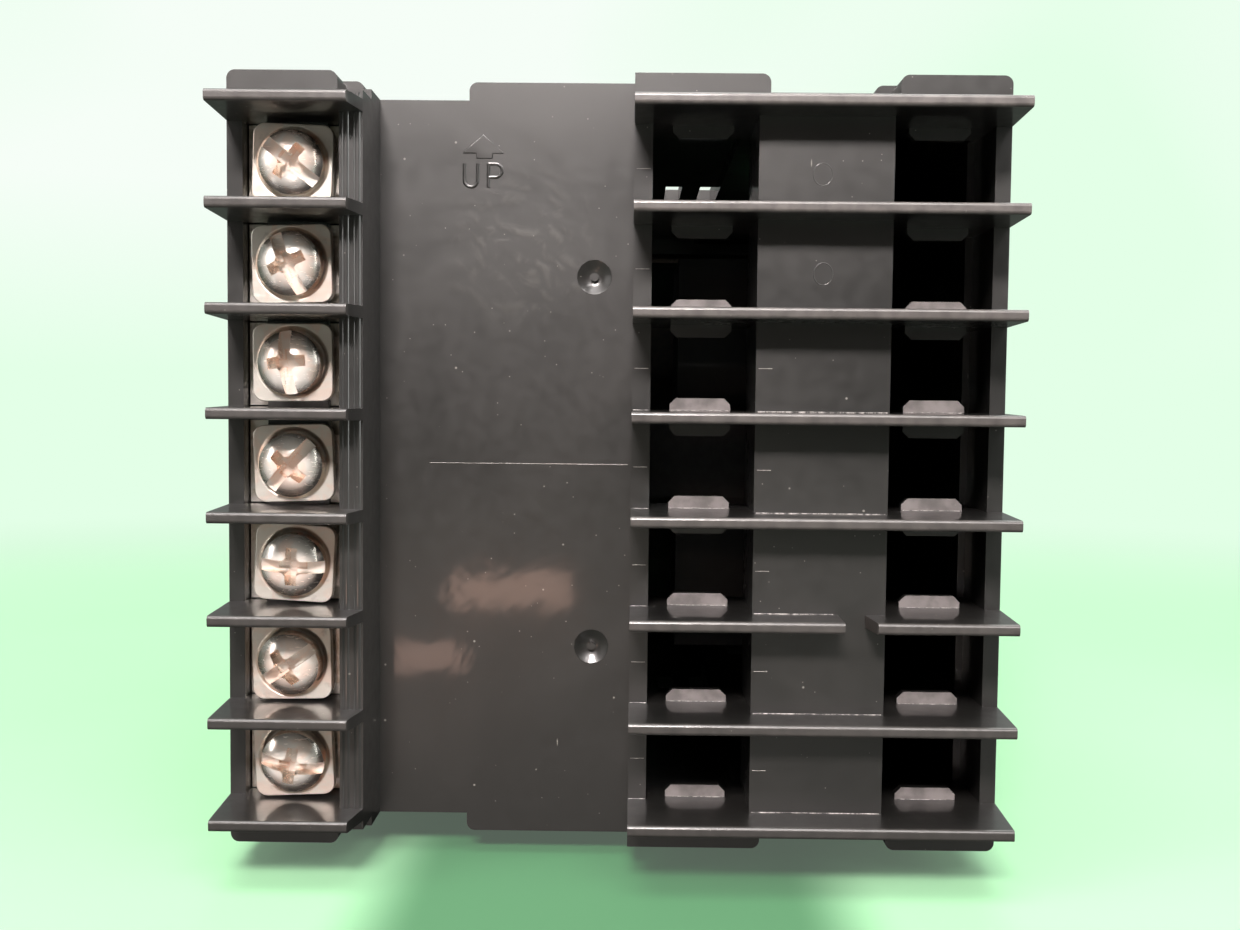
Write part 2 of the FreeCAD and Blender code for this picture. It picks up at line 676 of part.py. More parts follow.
def cut_vents(case):
    """Ventilation slots, hook slots for the brackets and windows for the bezel's hooks."""
    tall = CASE_HALF + PAST
    first = -S.vent_spacing * (S.vent_count - 1) / 2
    slot = rectangle(first - S.vent_width / 2, first + S.vent_width / 2, S.vent_start,
                     S.vent_start + S.vent_length)
    vents = pocket(case, "XY", -tall, tall, [slot])
    repeat(case, vents, "X", S.vent_spacing, S.vent_count)
    middle = (S.rail_half + S.channel_edge) / 2
    bracket_slots = [rectangle(centre - S.bracket_slot_width / 2, centre + S.bracket_slot_width / 2,
                               S.bracket_slot_start, S.bracket_slot_start + S.bracket_slot_length)
                     for centre in (middle, -middle)]
    hook_half = S.hook_width / 2 + S.key_gap
    hook_windows = [rectangle(-hook_half, hook_half, S.hook_start - S.key_gap,
                              S.hook_start + S.hook_length + S.key_gap)]
    pocket(case, "XY", -tall, tall, bracket_slots + hook_windows)


# ---- the front -----------------------------------------------------------------------------

def key_centres():
    return [S.key_spacing * step for step in (-1.5, -0.5, 0.5, 1.5)]


def make_bezel():
    bezel = new_body("bezel")
    corner = S.bezel_corner
    pad(bezel, "XZ", BEZEL_FRONT, -S.flange_thick,
        [rounded_rectangle(-BEZEL_HALF, BEZEL_HALF, -BEZEL_HALF, BEZEL_HALF, corner)])
    bevel_edges(bezel, lies_at(BEZEL_FRONT), S.bezel_bevel)
    skirt_x, skirt_z = S.skirt_width / 2, S.skirt_height / 2
    pad(bezel, "XZ", -S.flange_thick, S.skirt_length,
        [rectangle(-skirt_x, skirt_x, -skirt_z, skirt_z)])
    room_x, room_z = skirt_x - S.skirt_wall, skirt_z - S.skirt_wall
    pocket(bezel, "XZ", BEZEL_WALL_REAR, S.skirt_length, [rectangle(-room_x, room_x, -room_z, room_z)])
    posts = [square(S.post_across * x, S.post_up * z, S.post_size) for x in (-1, 1) for z in (-1, 1)]
    pad(bezel, "XZ", BEZEL_WALL_REAR, DISPLAY_FRONT, posts)
    hook_tip = CAVITY_HALF + S.hook_bite
    half = S.hook_width / 2
    hooks = [rectangle(-half, half, skirt_z - S.skirt_wall / 2, hook_tip),
             rectangle(-half, half, -hook_tip, -(skirt_z - S.skirt_wall / 2))]
    pad(bezel, "XZ", S.hook_start, S.hook_start + S.hook_length, hooks)
    wide, tall = S.window_width / 2, S.window_height / 2
    ledge = S.window_ledge
    seat = BEZEL_FRONT + S.window_setback + S.window_thick
    gap = S.key_gap / 2
    pocket(bezel, "XZ", BEZEL_FRONT, seat,
           [rectangle(-wide - gap, wide + gap, S.window_middle - tall - gap, S.window_middle + tall + gap)])
    pocket(bezel, "XZ", BEZEL_FRONT, BEZEL_WALL_REAR,
           [rectangle(-wide + ledge, wide - ledge, S.window_middle - tall + ledge,
                      S.window_middle + tall - ledge)])
    half_x = S.key_width / 2 + S.key_gap
    half_z = S.key_height / 2 + S.key_gap
    corner = S.key_corner + S.key_gap
    holes = [rounded_rectangle(x - half_x, x + half_x, S.key_level - half_z, S.key_level + half_z, corner)
             for x in key_centres()]
    pocket(bezel, "XZ", BEZEL_FRONT, BEZEL_WALL_REAR, holes)


def make_window():
    wide, tall = S.window_width / 2, S.window_height / 2
    front = BEZEL_FRONT + S.window_setback
    node("display_window", block("display_window", -wide, wide, front, front + S.window_thick,
                                 S.window_middle - tall, S.window_middle + tall))


def make_display():
    wide, tall = S.display_width / 2, S.display_height / 2
    node("display_board", block("display_board", -wide, wide, DISPLAY_FRONT, DISPLAY_REAR, -tall, tall))
    front = DISPLAY_FRONT - S.module_thick
    for label, across, middle, width, height in (
            ("pv_display", size(0), S.pv_middle, S.pv_width, S.pv_height),
            ("sv_display", S.sv_across, S.sv_middle, S.sv_width, S.sv_height)):
        node(label, block(label, across - width / 2, across + width / 2, front, DISPLAY_FRONT,
                          middle - height / 2, middle + height / 2))
    lamps = []
    for step in (-1.5, -0.5, 0.5, 1.5):
        level = S.sv_middle + S.lamp_spacing * step
        lamps.append(block("lamp", S.lamp_across - S.lamp_width / 2, S.lamp_across + S.lamp_width / 2,
                           DISPLAY_FRONT - S.lamp_thick, DISPLAY_FRONT,
                           level - S.lamp_height / 2, level + S.lamp_height / 2))
    group = DOCUMENT.addObject("Part::Compound", "indicator_lamps")
    group.Links = lamps
    node("indicator_lamps", group)


def make_key(name, across):
    """A key cap with its lip and stem, the switch behind it and the switch's plunger."""
    switch_front = DISPLAY_FRONT - S.switch_height
    plunger_front = switch_front - S.plunger_rise
    plunger_rear = switch_front + S.plunger_depth
    key = new_body("key_" + name)
    half_x, half_z = S.key_width / 2, S.key_height / 2
    lip_front = BEZEL_WALL_REAR + S.key_seat_gap
    pad(key, "XZ", BEZEL_FRONT - S.key_proud, lip_front,
        [rounded_rectangle(across - half_x, across + half_x, S.key_level - half_z,
                           S.key_level + half_z, S.key_corner)])
    bevel_edges(key, lies_at(BEZEL_FRONT - S.key_proud), S.key_bevel)
    pad(key, "XZ", lip_front, lip_front + S.key_lip_thick,
        [rectangle(across - half_x - S.key_lip, across + half_x + S.key_lip,
                   S.key_level - half_z - S.key_lip, S.key_level + half_z + S.key_lip)])
    pad(key, "XZ", lip_front + S.key_lip_thick, plunger_front,
        [square(across, S.key_level, S.plunger_size)])
    housing = square_bar("switch_body", across, S.key_level, switch_front, DISPLAY_FRONT, S.switch_size)
    bore = square_bar("switch_bore", across, S.key_level, switch_front - PAST,
                      plunger_rear + S.plunger_room, S.plunger_size + S.plunger_gap * 2)
    node("switch_" + name, cut_from("switch_" + name, housing, bore))
    node("plunger_" + name, square_bar("plunger_" + name, across, S.key_level, plunger_front,
                                       plunger_rear, S.plunger_size))


# ---- the boards ----------------------------------------------------------------------------

def make_boards():
    node("main_board", block("main_board", MAIN_INNER, MAIN_OUTER, DISPLAY_REAR, S.board_rear,
                             -BOARD_HALF, BOARD_HALF))
    node("power_board", block("power_board", -MAIN_OUTER, -MAIN_INNER, DISPLAY_REAR, S.board_rear,
                              -BOARD_HALF, BOARD_HALF))
    half = S.spacer_height / 2
    node("rear_spacer", block("rear_spacer", -MAIN_INNER, MAIN_INNER, S.spacer_start,
                              S.spacer_start + S.spacer_length, -half, half))
    make_contact_strip()
    make_power_parts()
    make_logic_parts()


def make_contact_strip():
    """Comb-like housing on the main board that takes the seven terminal tails."""
    strip = new_body("contact_strip")
    front = S.board_rear - S.strip_length
    pad(strip, "XZ", front, S.board_rear,
        [rectangle(MAIN_OUTER, MAIN_OUTER + S.strip_depth, -BOARD_HALF, BOARD_HALF)])
    level = row_level(S.rows - 1)
    half = S.tail_width / 2 + S.strip_slot_gap
    slot = pocket(strip, "XZ", front, S.board_rear,
                  [rectangle(MAIN_OUTER, TAIL_OUTER + S.strip_slot_gap, level - half, level + half)])
    repeat(strip, slot, "Z", S.row_pitch, S.rows)


def make_power_parts():
    face = -MAIN_INNER
    front, rear = S.transformer_start, S.transformer_start + S.transformer_length
    half, coil = S.transformer_height / 2, S.coil_height / 2
    core = block("core", face, face + S.transformer_depth, front, rear, -half, half)
    winding = block("winding", face + S.coil_base, face + S.transformer_depth - S.coil_base,
                    front - S.coil_overhang, rear + S.coil_overhang, -coil, coil)
    node("transformer", joined("transformer", [core, winding]))
    for label, low in (("relay_control", S.relay_gap / 2),
                       ("relay_alarm", -(S.relay_gap / 2 + S.relay_height))):
        node(label, block(label, face, face + S.relay_depth, S.relay_start,
                          S.relay_start + S.relay_length, low, low + S.relay_height))


def make_logic_parts():
    node("smoothing_capacitor",
         cylinder_along_x("smoothing_capacitor", MAIN_INNER - S.capacitor_length, MAIN_INNER,
                          S.capacitor_place, S.capacitor_level, S.capacitor_radius))
    half = S.chip_size / 2
    node("processor", block("processor", MAIN_INNER - S.chip_thick, MAIN_INNER, S.chip_place - half,
                            S.chip_place + half, S.chip_level - half, S.chip_level + half))


# ---- the terminals -------------------------------------------------------------------------

def make_plate(number, level):
    """Pressed terminal plate: a land between the tabs, a tapped hole and a solder tail."""
    plate = new_body("terminal_plate_%d" % number)
    half = BAY_HEIGHT / 2 - S.plate_play
    left, right = TAIL_INNER, BAY_OUTER - S.plate_play
    pad(plate, "XZ", PLATE_FRONT, PLATE_REAR, [rectangle(left, right, level - half, level + half)])
    land = S.land_width / 2
    rise = S.land_height / 2
    pad(plate, "XZ", PLATE_REAR, LAND_REAR,
        [rectangle(WIRED_CENTRE - land, WIRED_CENTRE + land, level - rise, level + rise)])
    tail = S.tail_width / 2
    pad(plate, "XZ", TAIL_FRONT, PLATE_FRONT,
        [rectangle(TAIL_INNER, TAIL_OUTER, level - tail, level + tail)])
    pocket(plate, "XZ", PLATE_FRONT, LAND_REAR,
           [circle(WIRED_CENTRE, level, S.thread_radius + S.thread_gap)])


def make_washer(number, level):
    """Square washer with cut corners and a dish for the screw head."""
    washer = new_body("square_washer_%d" % number)
    half = S.washer_size / 2
    pad(washer, "XZ", WASHER_FRONT, WASHER_REAR,
        [cut_corner_rectangle(WIRED_CENTRE - half, WIRED_CENTRE + half, level - half, level + half,
                              S.washer_corner)])
    pocket(washer, "XZ", WASHER_REAR - S.dish_depth, WASHER_REAR,
           [circle(WIRED_CENTRE, level, S.dish_radius)])
    pocket(washer, "XZ", WASHER_FRONT, WASHER_REAR,
           [circle(WIRED_CENTRE, level, S.thread_radius + S.washer_bore_gap)])


def make_screw(number, level, slot_angle):
    """Terminal screw: turned head and shank, then a slot and a cross recess."""
    shank_end = HEAD_FRONT - S.screw_length
    name = "terminal_screw_%d" % number
    screw = new_body(name)
    sketch = new_sketch(screw, "YZ", size(0), [
        [(shank_end, 0), (HEAD_REAR, 0), (HEAD_REAR, S.head_radius), (HEAD_FRONT, S.head_radius),
         (HEAD_FRONT, S.thread_radius), (shank_end, S.thread_radius)]])
    turned = screw.newObject("PartDesign::Revolution", name + "_turned")
    turned.Profile = sketch
    turned.ReferenceAxis = (origin_feature(screw, "Y_Axis"), [""])
    turned.Angle = 360
    top, reach, slot = HEAD_REAR + PAST, S.head_radius + PAST, S.slot_width / 2
    arm, width = S.cross_length / 2, S.cross_width / 2
    pocket(screw, "XZ", HEAD_REAR - S.slot_depth, top, [rectangle(-reach, reach, -slot, slot)])
    pocket(screw, "XZ", HEAD_REAR - S.cross_depth, top, [rectangle(-width, width, -arm, arm)])
    pocket(screw, "XZ", HEAD_REAR - S.cross_depth, top, [rectangle(-arm, arm, -width, width)])
    screw.Placement.Rotation = FreeCAD.Rotation(FreeCAD.Vector(0, 1, 0), slot_angle)
    bind(screw, {"Placement.Base.x": WIRED_CENTRE, "Placement.Base.z": level})


# ---- build, check and write ----------------------------------------------------------------

def check_document():
    DOCUMENT.recompute()
    for item in DOCUMENT.Objects:
        bad = [state for state in item.State if state in ("Invalid", "Error")]
        if bad:
            raise RuntimeError("%s: %s" % (item.Label, bad))
    for label, item in NODES.items():
        shape = item.Shape
        if shape.isNull() or not shape.isValid() or not shape.Solids:
            raise RuntimeError("bad shape: " + label)


def write_parts():
    os.makedirs("parts", exist_ok=True)
    for label, item in NODES.items():
        item.Shape.exportStep("parts/%s.step" % label)


make_case()
make_bezel()
make_window()
make_display()
for key_name, key_place in zip(("set", "shift", "down", "up"), key_centres()):
    make_key(key_name, key_place)
make_boards()
for position, angle in enumerate(SLOT_ANGLES):
    make_plate(position + 1, row_level(position))
    make_washer(position + 1, row_level(position))
    make_screw(position + 1, row_level(position), angle)
check_document()
write_parts()
for label, item in NODES.items():
    print("%-22s solids %d  volume %.2f" % (label, len(item.Shape.Solids), item.Shape.Volume))
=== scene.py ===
"""Finish and small moulded detail for a panel-mounting temperature controller, seen from its terminals.

Run as a script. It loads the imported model, adds the pieces that ride on it and sets up a plain stage.
X runs across, Z is up and the terminals face +Y. Lengths are metres, written as millimetres times MM.
"""
import math

import bmesh
import bpy
from bpy.props import FloatProperty, FloatVectorProperty, IntProperty, PointerProperty
from mathutils import Matrix, Vector


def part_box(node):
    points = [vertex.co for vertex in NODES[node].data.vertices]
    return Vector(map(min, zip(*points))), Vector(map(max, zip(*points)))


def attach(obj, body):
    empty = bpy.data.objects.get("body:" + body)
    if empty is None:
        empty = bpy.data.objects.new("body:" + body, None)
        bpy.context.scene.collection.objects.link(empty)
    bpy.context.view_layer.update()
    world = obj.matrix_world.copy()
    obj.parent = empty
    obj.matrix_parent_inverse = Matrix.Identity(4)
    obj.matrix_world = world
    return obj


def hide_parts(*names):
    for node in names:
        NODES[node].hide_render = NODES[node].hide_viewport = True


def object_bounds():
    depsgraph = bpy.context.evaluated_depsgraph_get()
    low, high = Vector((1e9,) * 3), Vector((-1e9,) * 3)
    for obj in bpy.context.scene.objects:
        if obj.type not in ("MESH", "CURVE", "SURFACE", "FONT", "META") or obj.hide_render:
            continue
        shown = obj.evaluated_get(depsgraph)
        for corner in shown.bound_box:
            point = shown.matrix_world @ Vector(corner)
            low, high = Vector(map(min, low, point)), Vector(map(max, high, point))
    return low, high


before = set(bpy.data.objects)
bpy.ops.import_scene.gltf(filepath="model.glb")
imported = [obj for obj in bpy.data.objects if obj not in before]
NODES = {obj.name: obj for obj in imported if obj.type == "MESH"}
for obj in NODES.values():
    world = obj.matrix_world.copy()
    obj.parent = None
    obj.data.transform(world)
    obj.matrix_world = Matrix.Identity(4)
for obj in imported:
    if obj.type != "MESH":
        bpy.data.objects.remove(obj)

bl_info = {
    "name": "Temperature Controller Finish",
    "version": (1, 0, 0),
    "blender": (4, 5, 0),
    "location": "View3D > Sidebar > Controller",
    "description": "Case, terminal screws, washers, display and stage of a temperature controller",
    "category": "Object",
}

MM = 0.001
CAD_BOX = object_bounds()
ROWS = range(1, 8)

# Levels of the case's rear faces along Y, and the pitch of its terminal rows, as in the CAD part.
PANEL_FACE = 89.3 * MM
BLOCK_FACE = 93.05 * MM
TAB_FACE = 92.3 * MM
MIDDLE_WALL_FACE = 96.3 * MM
WIRED_WALL_FACE = 96.5 * MM
RIB_FACE = CAD_BOX[1].y
ROW_PITCH = 8.57 * MM
PLATE_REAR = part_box("terminal_plate_4")[1].y
# How far below its row's middle a rib's foot is.
RIB_FOOT = ROW_PITCH / 2 - 0.56 * MM
# How far each head leans off its hole, across and up, in millimetres, because the screws are left loose.
HEAD_LEAN = (
    (0.10, -0.13), (-0.09, -0.11), (-0.12, 0.06), (0.0, -0.20), (0.16, -0.22), (-0.30, -0.32),
    (0.06, -0.34),
)
# The turn of each slot and washer in degrees, and each washer's shift on its screw, across and up.
SLOT_ANGLES = (-39, -66, -84, 48, -3, 34, -10)
WASHER_TURNS = (-2.0, 1.5, 0.5, 2.0, -3.0, 1.0, 2.5)
WASHER_SHIFTS = (
    (0.05, -0.10), (-0.05, -0.05), (0.0, 0.10), (0.05, 0.0), (0.10, -0.10), (-0.15, -0.15), (0.0, -0.10),
)


def row_level(row):
    """Height of the centre of a terminal row, counted from 1 at the top."""
    return (4 - row) * ROW_PITCH


# ---------------------------------------------------------------------------------------------
# Node trees


class Tree:
    """Short calls for building a material or geometry tree."""

    def __init__(self, tree):
        self.tree = tree

    def add(self, kind, inputs=None, **settings):
        node = self.tree.nodes.new(kind)
        for name, value in settings.items():
            setattr(node, name, value)
        for key, value in (inputs or {}).items():
            self.feed(node.inputs[key], value)
        return node

    def out(self, output, kind, inputs=None, **settings):
        """Adds a node and gives one of its outputs."""
        return self.add(kind, inputs, **settings).outputs[output]

    def feed(self, socket, value):
        for one in value if isinstance(value, list) else [value]:
            if isinstance(one, bpy.types.NodeSocket):
                self.tree.links.new(one, socket)
            else:
                socket.default_value = one

    def math(self, operation, *values):
        return self.out(0, "ShaderNodeMath", dict(enumerate(values)), operation=operation)

    def times(self, one, other):
        return self.math("MULTIPLY", one, other)

    def plus(self, one, other):
        return self.math("ADD", one, other)

    def minus(self, one, other):
        return self.math("SUBTRACT", one, other)

    def blend(self, amount, one, other):
        """Mixes two colours."""
        node = self.add("ShaderNodeMix", data_type="RGBA")
        for key, value in (("Factor", amount), (6, one), (7, other)):
            self.feed(node.inputs[key], value)
        return node.outputs[2]

    def axes(self, vector):
        """The parts of a vector, named X, Y and Z."""
        return self.add("ShaderNodeSeparateXYZ", {0: vector}).outputs

    def xyz(self, x=0.0, y=0.0, z=0.0):
        return self.out(0, "ShaderNodeCombineXYZ", {0: x, 1: y, 2: z})


# ---------------------------------------------------------------------------------------------
# Materials


class Finish(Tree):
    """A material that ends in one Principled shader and reads Object coordinates."""

    def __init__(self, name, **shader):
        self.material = bpy.data.materials.new(name)
        self.material.use_nodes = True
        super().__init__(self.material.node_tree)
        self.shader = self.tree.nodes["Principled BSDF"]
        given = self.add("ShaderNodeTexCoord").outputs
        self.place, self.facing = given["Object"], given["Normal"]
        for name, value in shader.items():
            self.feed(self.shader.inputs[name.replace("_", " ")], value)

    def mapped(self, scale=(1, 1, 1), turn=(0, 0, 0), shift=(0, 0, 0)):
        spread = {"Vector": self.place, "Scale": scale, "Rotation": turn, "Location": shift}
        return self.out(0, "ShaderNodeMapping", spread)

    def noise(self, scale, detail=3.0, place=None, distortion=0.0, rough=0.5):
        return self.out(
            "Fac", "ShaderNodeTexNoise",
            {
                "Vector": place or self.place, "Scale": scale, "Detail": detail,
                "Roughness": rough, "Distortion": distortion,
            },
        )

    def ranged(self, value, low, high, out_low=0.0, out_high=1.0, smooth=True):
        return self.out(
            0, "ShaderNodeMapRange",
            {"Value": value, "From Min": low, "From Max": high, "To Min": out_low, "To Max": out_high},
            interpolation_type="SMOOTHSTEP" if smooth else "LINEAR",
        )

    def specks(self, scale, size, share, shift=0.0, turn=0.0, stretch=1.0):
        """Sparse specks, stretched into slivers if asked: 1 inside a speck."""
        cells = self.add(
            "ShaderNodeTexVoronoi",
            {
                "Vector": self.mapped((1, 1, 1 / stretch), (0, turn, 0), (shift, shift, shift)),
                "Scale": scale, "Randomness": 1.0,
            },
        )
        near = self.ranged(cells.outputs["Distance"], size, size * 0.45)
        chosen = self.out(0, "ShaderNodeSeparateColor", {0: cells.outputs["Color"]})
        return self.times(near, self.math("GREATER_THAN", chosen, 1.0 - share))

    def distance(self, centre):
        return self.out("Value", "ShaderNodeVectorMath", {0: self.place, 1: centre}, operation="DISTANCE")

    def near(self, centre, reach, edge):
        """1 within reach of a point, falling to 0 over edge."""
        return self.ranged(self.distance(centre), reach + edge, reach)

    def bump(self, height, depth, strength=1.0, under=None):
        node = self.add("ShaderNodeBump", {"Height": height, "Distance": depth, "Strength": strength})
        if under is not None:
            self.feed(node.inputs["Normal"], under)
        return node.outputs[0]

    def ends(self, colour=None, roughness=None, normal=None):
        for name, value in (("Base Color", colour), ("Roughness", roughness), ("Normal", normal)):
            if value is not None:
                self.feed(self.shader.inputs[name], value)
        return self.material


def looks():
    return bpy.context.scene.controller_looks


def opaque(colour):
    return (*colour, 1.0)


def moulded_black(name, blush=False, gloss=0.0):
    """Black moulded plastic: glossy skin, faint flow marks, fine scratches, dust, worn rib edges, and
    painted highlight on the rib edges and the upper stop tabs.
    """
    c = looks()
    f = Finish(name, IOR=1.5, Specular_IOR_Level=c.skin_shine, Coat_Weight=0.75, Coat_Roughness=0.08)
    across, depth, level = (f.axes(f.place)[axis] for axis in "XYZ")
    cloudy = f.noise(55.0, 4.0, distortion=0.6)
    grain = f.noise(2600.0, 2.0)

    # Two crossing sets of hairline scratches, and dust as specks and as slivers.
    long_marks = f.noise(1.0, 3.0, place=f.mapped((240, 240, 5200), (0, 0.35, 0)), rough=0.7)
    cross_marks = f.noise(1.0, 3.0, place=f.mapped((4800, 260, 220), (0, -0.5, 0)), rough=0.7)
    cross_marks = f.times(f.ranged(cross_marks, 0.72, 0.80), 0.7)
    marks = f.math("MAXIMUM", f.ranged(long_marks, 0.70, 0.78), cross_marks)
    dust = f.math("MAXIMUM", f.specks(620.0, 0.085, 0.22), f.specks(1900.0, 0.13, 0.10, 0.013))
    for shift, turn in ((0.031, 0.5), (0.047, -1.0)):
        dust = f.math("MAXIMUM", dust, f.specks(900.0, 0.07, 0.03, shift, turn, 6.0))
    tint = f.blend(f.ranged(cloudy, 0.35, 0.75), opaque(c.plastic), opaque(c.plastic_worn))
    tint = f.blend(f.times(dust, 0.55), tint, opaque(c.dust))

    # Painted highlight on the faces of the stop tabs above each rib, and wear with painted highlight on the
    # ribs' rear edges, most of all at the top.
    patchy = f.ranged(f.noise(700.0, 4.0), 0.25, 0.7, 0.45, 1.0)
    tabs = f.times(
        f.ranged(depth, TAB_FACE - 0.20 * MM, TAB_FACE - 0.10 * MM),
        f.ranged(depth, TAB_FACE + 0.15 * MM, TAB_FACE + 0.10 * MM),
    )
    tabs = f.times(tabs, f.ranged(f.axes(f.facing)["Y"], 0.75, 0.95))
    # Only the tabs above each rib, on the side that faces the light, get the painted highlight; those below
    # stay dark as in shade.
    above_rib = f.math("FRACT", f.plus(f.math("DIVIDE", level, ROW_PITCH), 4.5))
    tabs = f.times(tabs, f.math("LESS_THAN", above_rib, 0.5))
    tint = f.blend(f.times(tabs, patchy), tint, opaque(c.tab_highlight))
    # The ribs' rear edges: wear with a painted highlight, lighter towards the top rows and weaker past X 22
    # mm.
    rib_wear_and_highlight = f.ranged(depth, RIB_FACE - 0.65 * MM, RIB_FACE - 0.25 * MM)
    rib_wear_and_highlight = f.times(rib_wear_and_highlight, f.times(patchy, f.ranged(level, -30 * MM, 30 * MM, 0.25, 1.1, smooth=False)))
    rib_wear_and_highlight = f.times(rib_wear_and_highlight, f.ranged(across, 18 * MM, 22 * MM, 1.0, 0.55))
    tint = f.blend(rib_wear_and_highlight, tint, opaque(c.rib_wear_and_highlight))

    rough = f.ranged(cloudy, 0.3, 0.7, c.skin_roughness - 0.025, c.skin_roughness + 0.03)
    rough = f.plus(rough, f.plus(f.times(dust, 0.2), gloss))
    rough = f.plus(rough, f.ranged(f.noise(850.0, 3.0), 0.3, 0.7, -0.02, 0.03))
    normal = f.bump(f.plus(f.times(grain, 0.25), f.times(marks, -0.5)), 0.004 * MM, 0.9)
    normal = f.bump(cloudy, 0.30 * MM, 0.35, normal)
    f.feed(f.shader.inputs["Coat Normal"], f.bump(cloudy, 0.30 * MM, 0.35))
    if blush:
        # The silvery flow mark beside the upper gate.
        mask = f.near((8.5 * MM, PANEL_FACE, 19.0 * MM), 1.0 * MM, 8.5 * MM)
        swirl = f.out(
            "Fac", "ShaderNodeTexWave",
            {
                "Vector": f.mapped(shift=(-20 * MM, -PANEL_FACE, -6 * MM)), "Scale": 210.0,
                "Distortion": 16.0, "Detail": 5.0, "Detail Scale": 0.9,
            },
            wave_type="RINGS", rings_direction="Y",
        )
        broken = f.ranged(f.noise(330.0, 3.0, distortion=1.5), 0.42, 0.66)
        ripples = f.times(f.times(mask, swirl), broken)
        normal = f.bump(ripples, 0.010 * MM, 0.7, normal)
        tint = f.blend(f.times(ripples, 0.085), tint, opaque(c.dust))
        rough = f.plus(rough, f.times(mask, 0.03))
    return f.ends(tint, rough, normal)


def plated(name, colour, warm, roughness, scuff, depth, dull=0.1):
    """Plated steel with warm clouding, scuffs and a little grime, duller where it is flat and worn."""
    f = Finish(name, IOR=1.5)
    flat = f.ranged(f.axes(f.facing)["Y"], 0.72, 0.97)
    f.feed(f.shader.inputs["Metallic"], f.minus(1.0, f.times(flat, dull)))
    clouds = f.noise(420.0, 4.0, distortion=1.2)
    scuffs = f.noise(1.0, 3.0, place=f.mapped((900, 900, 5200), (0, 0.7, 0)), rough=0.6)
    pits = f.noise(5200.0, 2.0)
    tint = f.blend(f.ranged(clouds, 0.42, 0.62), opaque(colour), opaque(warm))
    grime = f.ranged(f.noise(900.0, 3.0), 0.62, 0.80)
    tint = f.blend(f.times(grime, 0.30), tint, (0.12, 0.10, 0.08, 1.0))
    rough = f.ranged(scuffs, 0.4, 0.75, roughness, roughness + scuff)
    rough = f.plus(rough, f.times(grime, 0.15))
    height = f.plus(f.times(scuffs, 0.4), f.times(pits, 0.15))
    return f.ends(tint, rough, f.bump(height, depth, 1.0))


def painted(name, colour, other, roughness, scale=900.0, depth=0.01 * MM, **shader):
    """A plain two-tone finish for parts inside the case."""
    f = Finish(name, **shader)
    field = f.noise(scale, 4.0)
    tint = f.blend(f.ranged(field, 0.35, 0.7), opaque(colour), opaque(other))
    return f.ends(tint, f.ranged(field, 0.3, 0.7, roughness, roughness + 0.08), f.bump(field, depth, 0.6))


def circuit_board(name, colour, track):
    """Solder mask over faint tracks."""
    f = Finish(name, IOR=1.5)
    tracks = f.add(
        "ShaderNodeTexBrick",
        {
            "Vector": f.mapped(turn=(0, 0.3, 0)), "Scale": 300.0, "Mortar Size": 0.03,
            "Color1": opaque(colour), "Color2": opaque(colour), "Mortar": opaque(track),
        },
    )
    tint = f.blend(f.ranged(f.noise(200.0), 0.35, 0.7), tracks.outputs["Color"], opaque(colour))
    return f.ends(tint, 0.35, f.bump(tracks.outputs["Fac"], 0.02 * MM, 0.5))


def smoked_glass(name):
    """Dark tinted window that shows the unlit display behind it."""
    f = Finish(name, IOR=1.49, Transmission_Weight=1.0, Coat_Weight=0.3, Coat_Roughness=0.05)
    haze = f.noise(300.0, 3.0)
    tint = f.blend(f.ranged(haze, 0.3, 0.7), (0.115, 0.08, 0.075, 1), (0.135, 0.095, 0.09, 1))
    return f.ends(tint, f.ranged(haze, 0.3, 0.7, 0.03, 0.07), f.bump(haze, 0.02 * MM, 0.1))


# ---------------------------------------------------------------------------------------------
# Meshes


def placed(name, data):
    """A new object in the scene, at the origin."""
    obj = bpy.data.objects.new(name, data)
    bpy.context.scene.collection.objects.link(obj)
    return obj


def plain_mesh(name, bm):
    """Ends a bmesh as a mesh."""
    mesh = bpy.data.meshes.new(name)
    bm.to_mesh(mesh)
    bm.free()
    return mesh


def piece(name, mesh, body, material):
    """A finished object at the origin, which rides on a body."""
    obj = placed(name, mesh)
    mesh.materials.append(material)
    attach(obj, body)
    return obj


def smooth(mesh, degrees=32):
    """Smooth shading with sharp edges past an angle."""
    mesh.polygons.foreach_set("use_smooth", [True] * len(mesh.polygons))
    mesh.set_sharp_from_angle(angle=math.radians(degrees))


def soften(obj, width, degrees=40, segments=2):
    """Rounds the sharp edges of an object."""
    mod = obj.modifiers.new("rounded edges", "BEVEL")
    mod.width = width
    mod.segments = segments
    mod.limit_method = "ANGLE"
    mod.angle_limit = math.radians(degrees)
    mod.harden_normals = True
    mod.use_clamp_overlap = True


def even(obj):
    """Keeps flat faces flat beside their rounded edges."""
    mod = obj.modifiers.new("flat faces", "WEIGHTED_NORMAL")
    mod.mode = "FACE_AREA"
    mod.weight = 50
    mod.keep_sharp = True
    return obj


def joined_copy(node, round_off, shortest):
    """A CAD node's mesh with its corners joined, its flat faces whole and its long sharp edges rounded."""
    bm = bmesh.new()
    bm.from_mesh(NODES[node].data)
    bmesh.ops.remove_doubles(bm, verts=bm.verts, dist=0.002 * MM)
    bmesh.ops.dissolve_limit(
        bm, angle_limit=math.radians(0.3), verts=bm.verts, edges=bm.edges, use_dissolve_boundaries=False
    )
    corner = math.radians(50)
    sharp = [
        e for e in bm.edges
        if len(e.link_faces) == 2 and e.calc_length() > shortest and abs(e.calc_face_angle(0.0)) > corner
    ]
    bmesh.ops.bevel(
        bm, geom=sharp, offset=round_off, segments=2, profile=0.5, affect="EDGES", clamp_overlap=True,
        loop_slide=True,
    )
    mesh = plain_mesh(node + "_finished", bm)
    if "custom_normal" in mesh.attributes:
        mesh.attributes.remove(mesh.attributes["custom_normal"])
    smooth(mesh, 33)
    return mesh


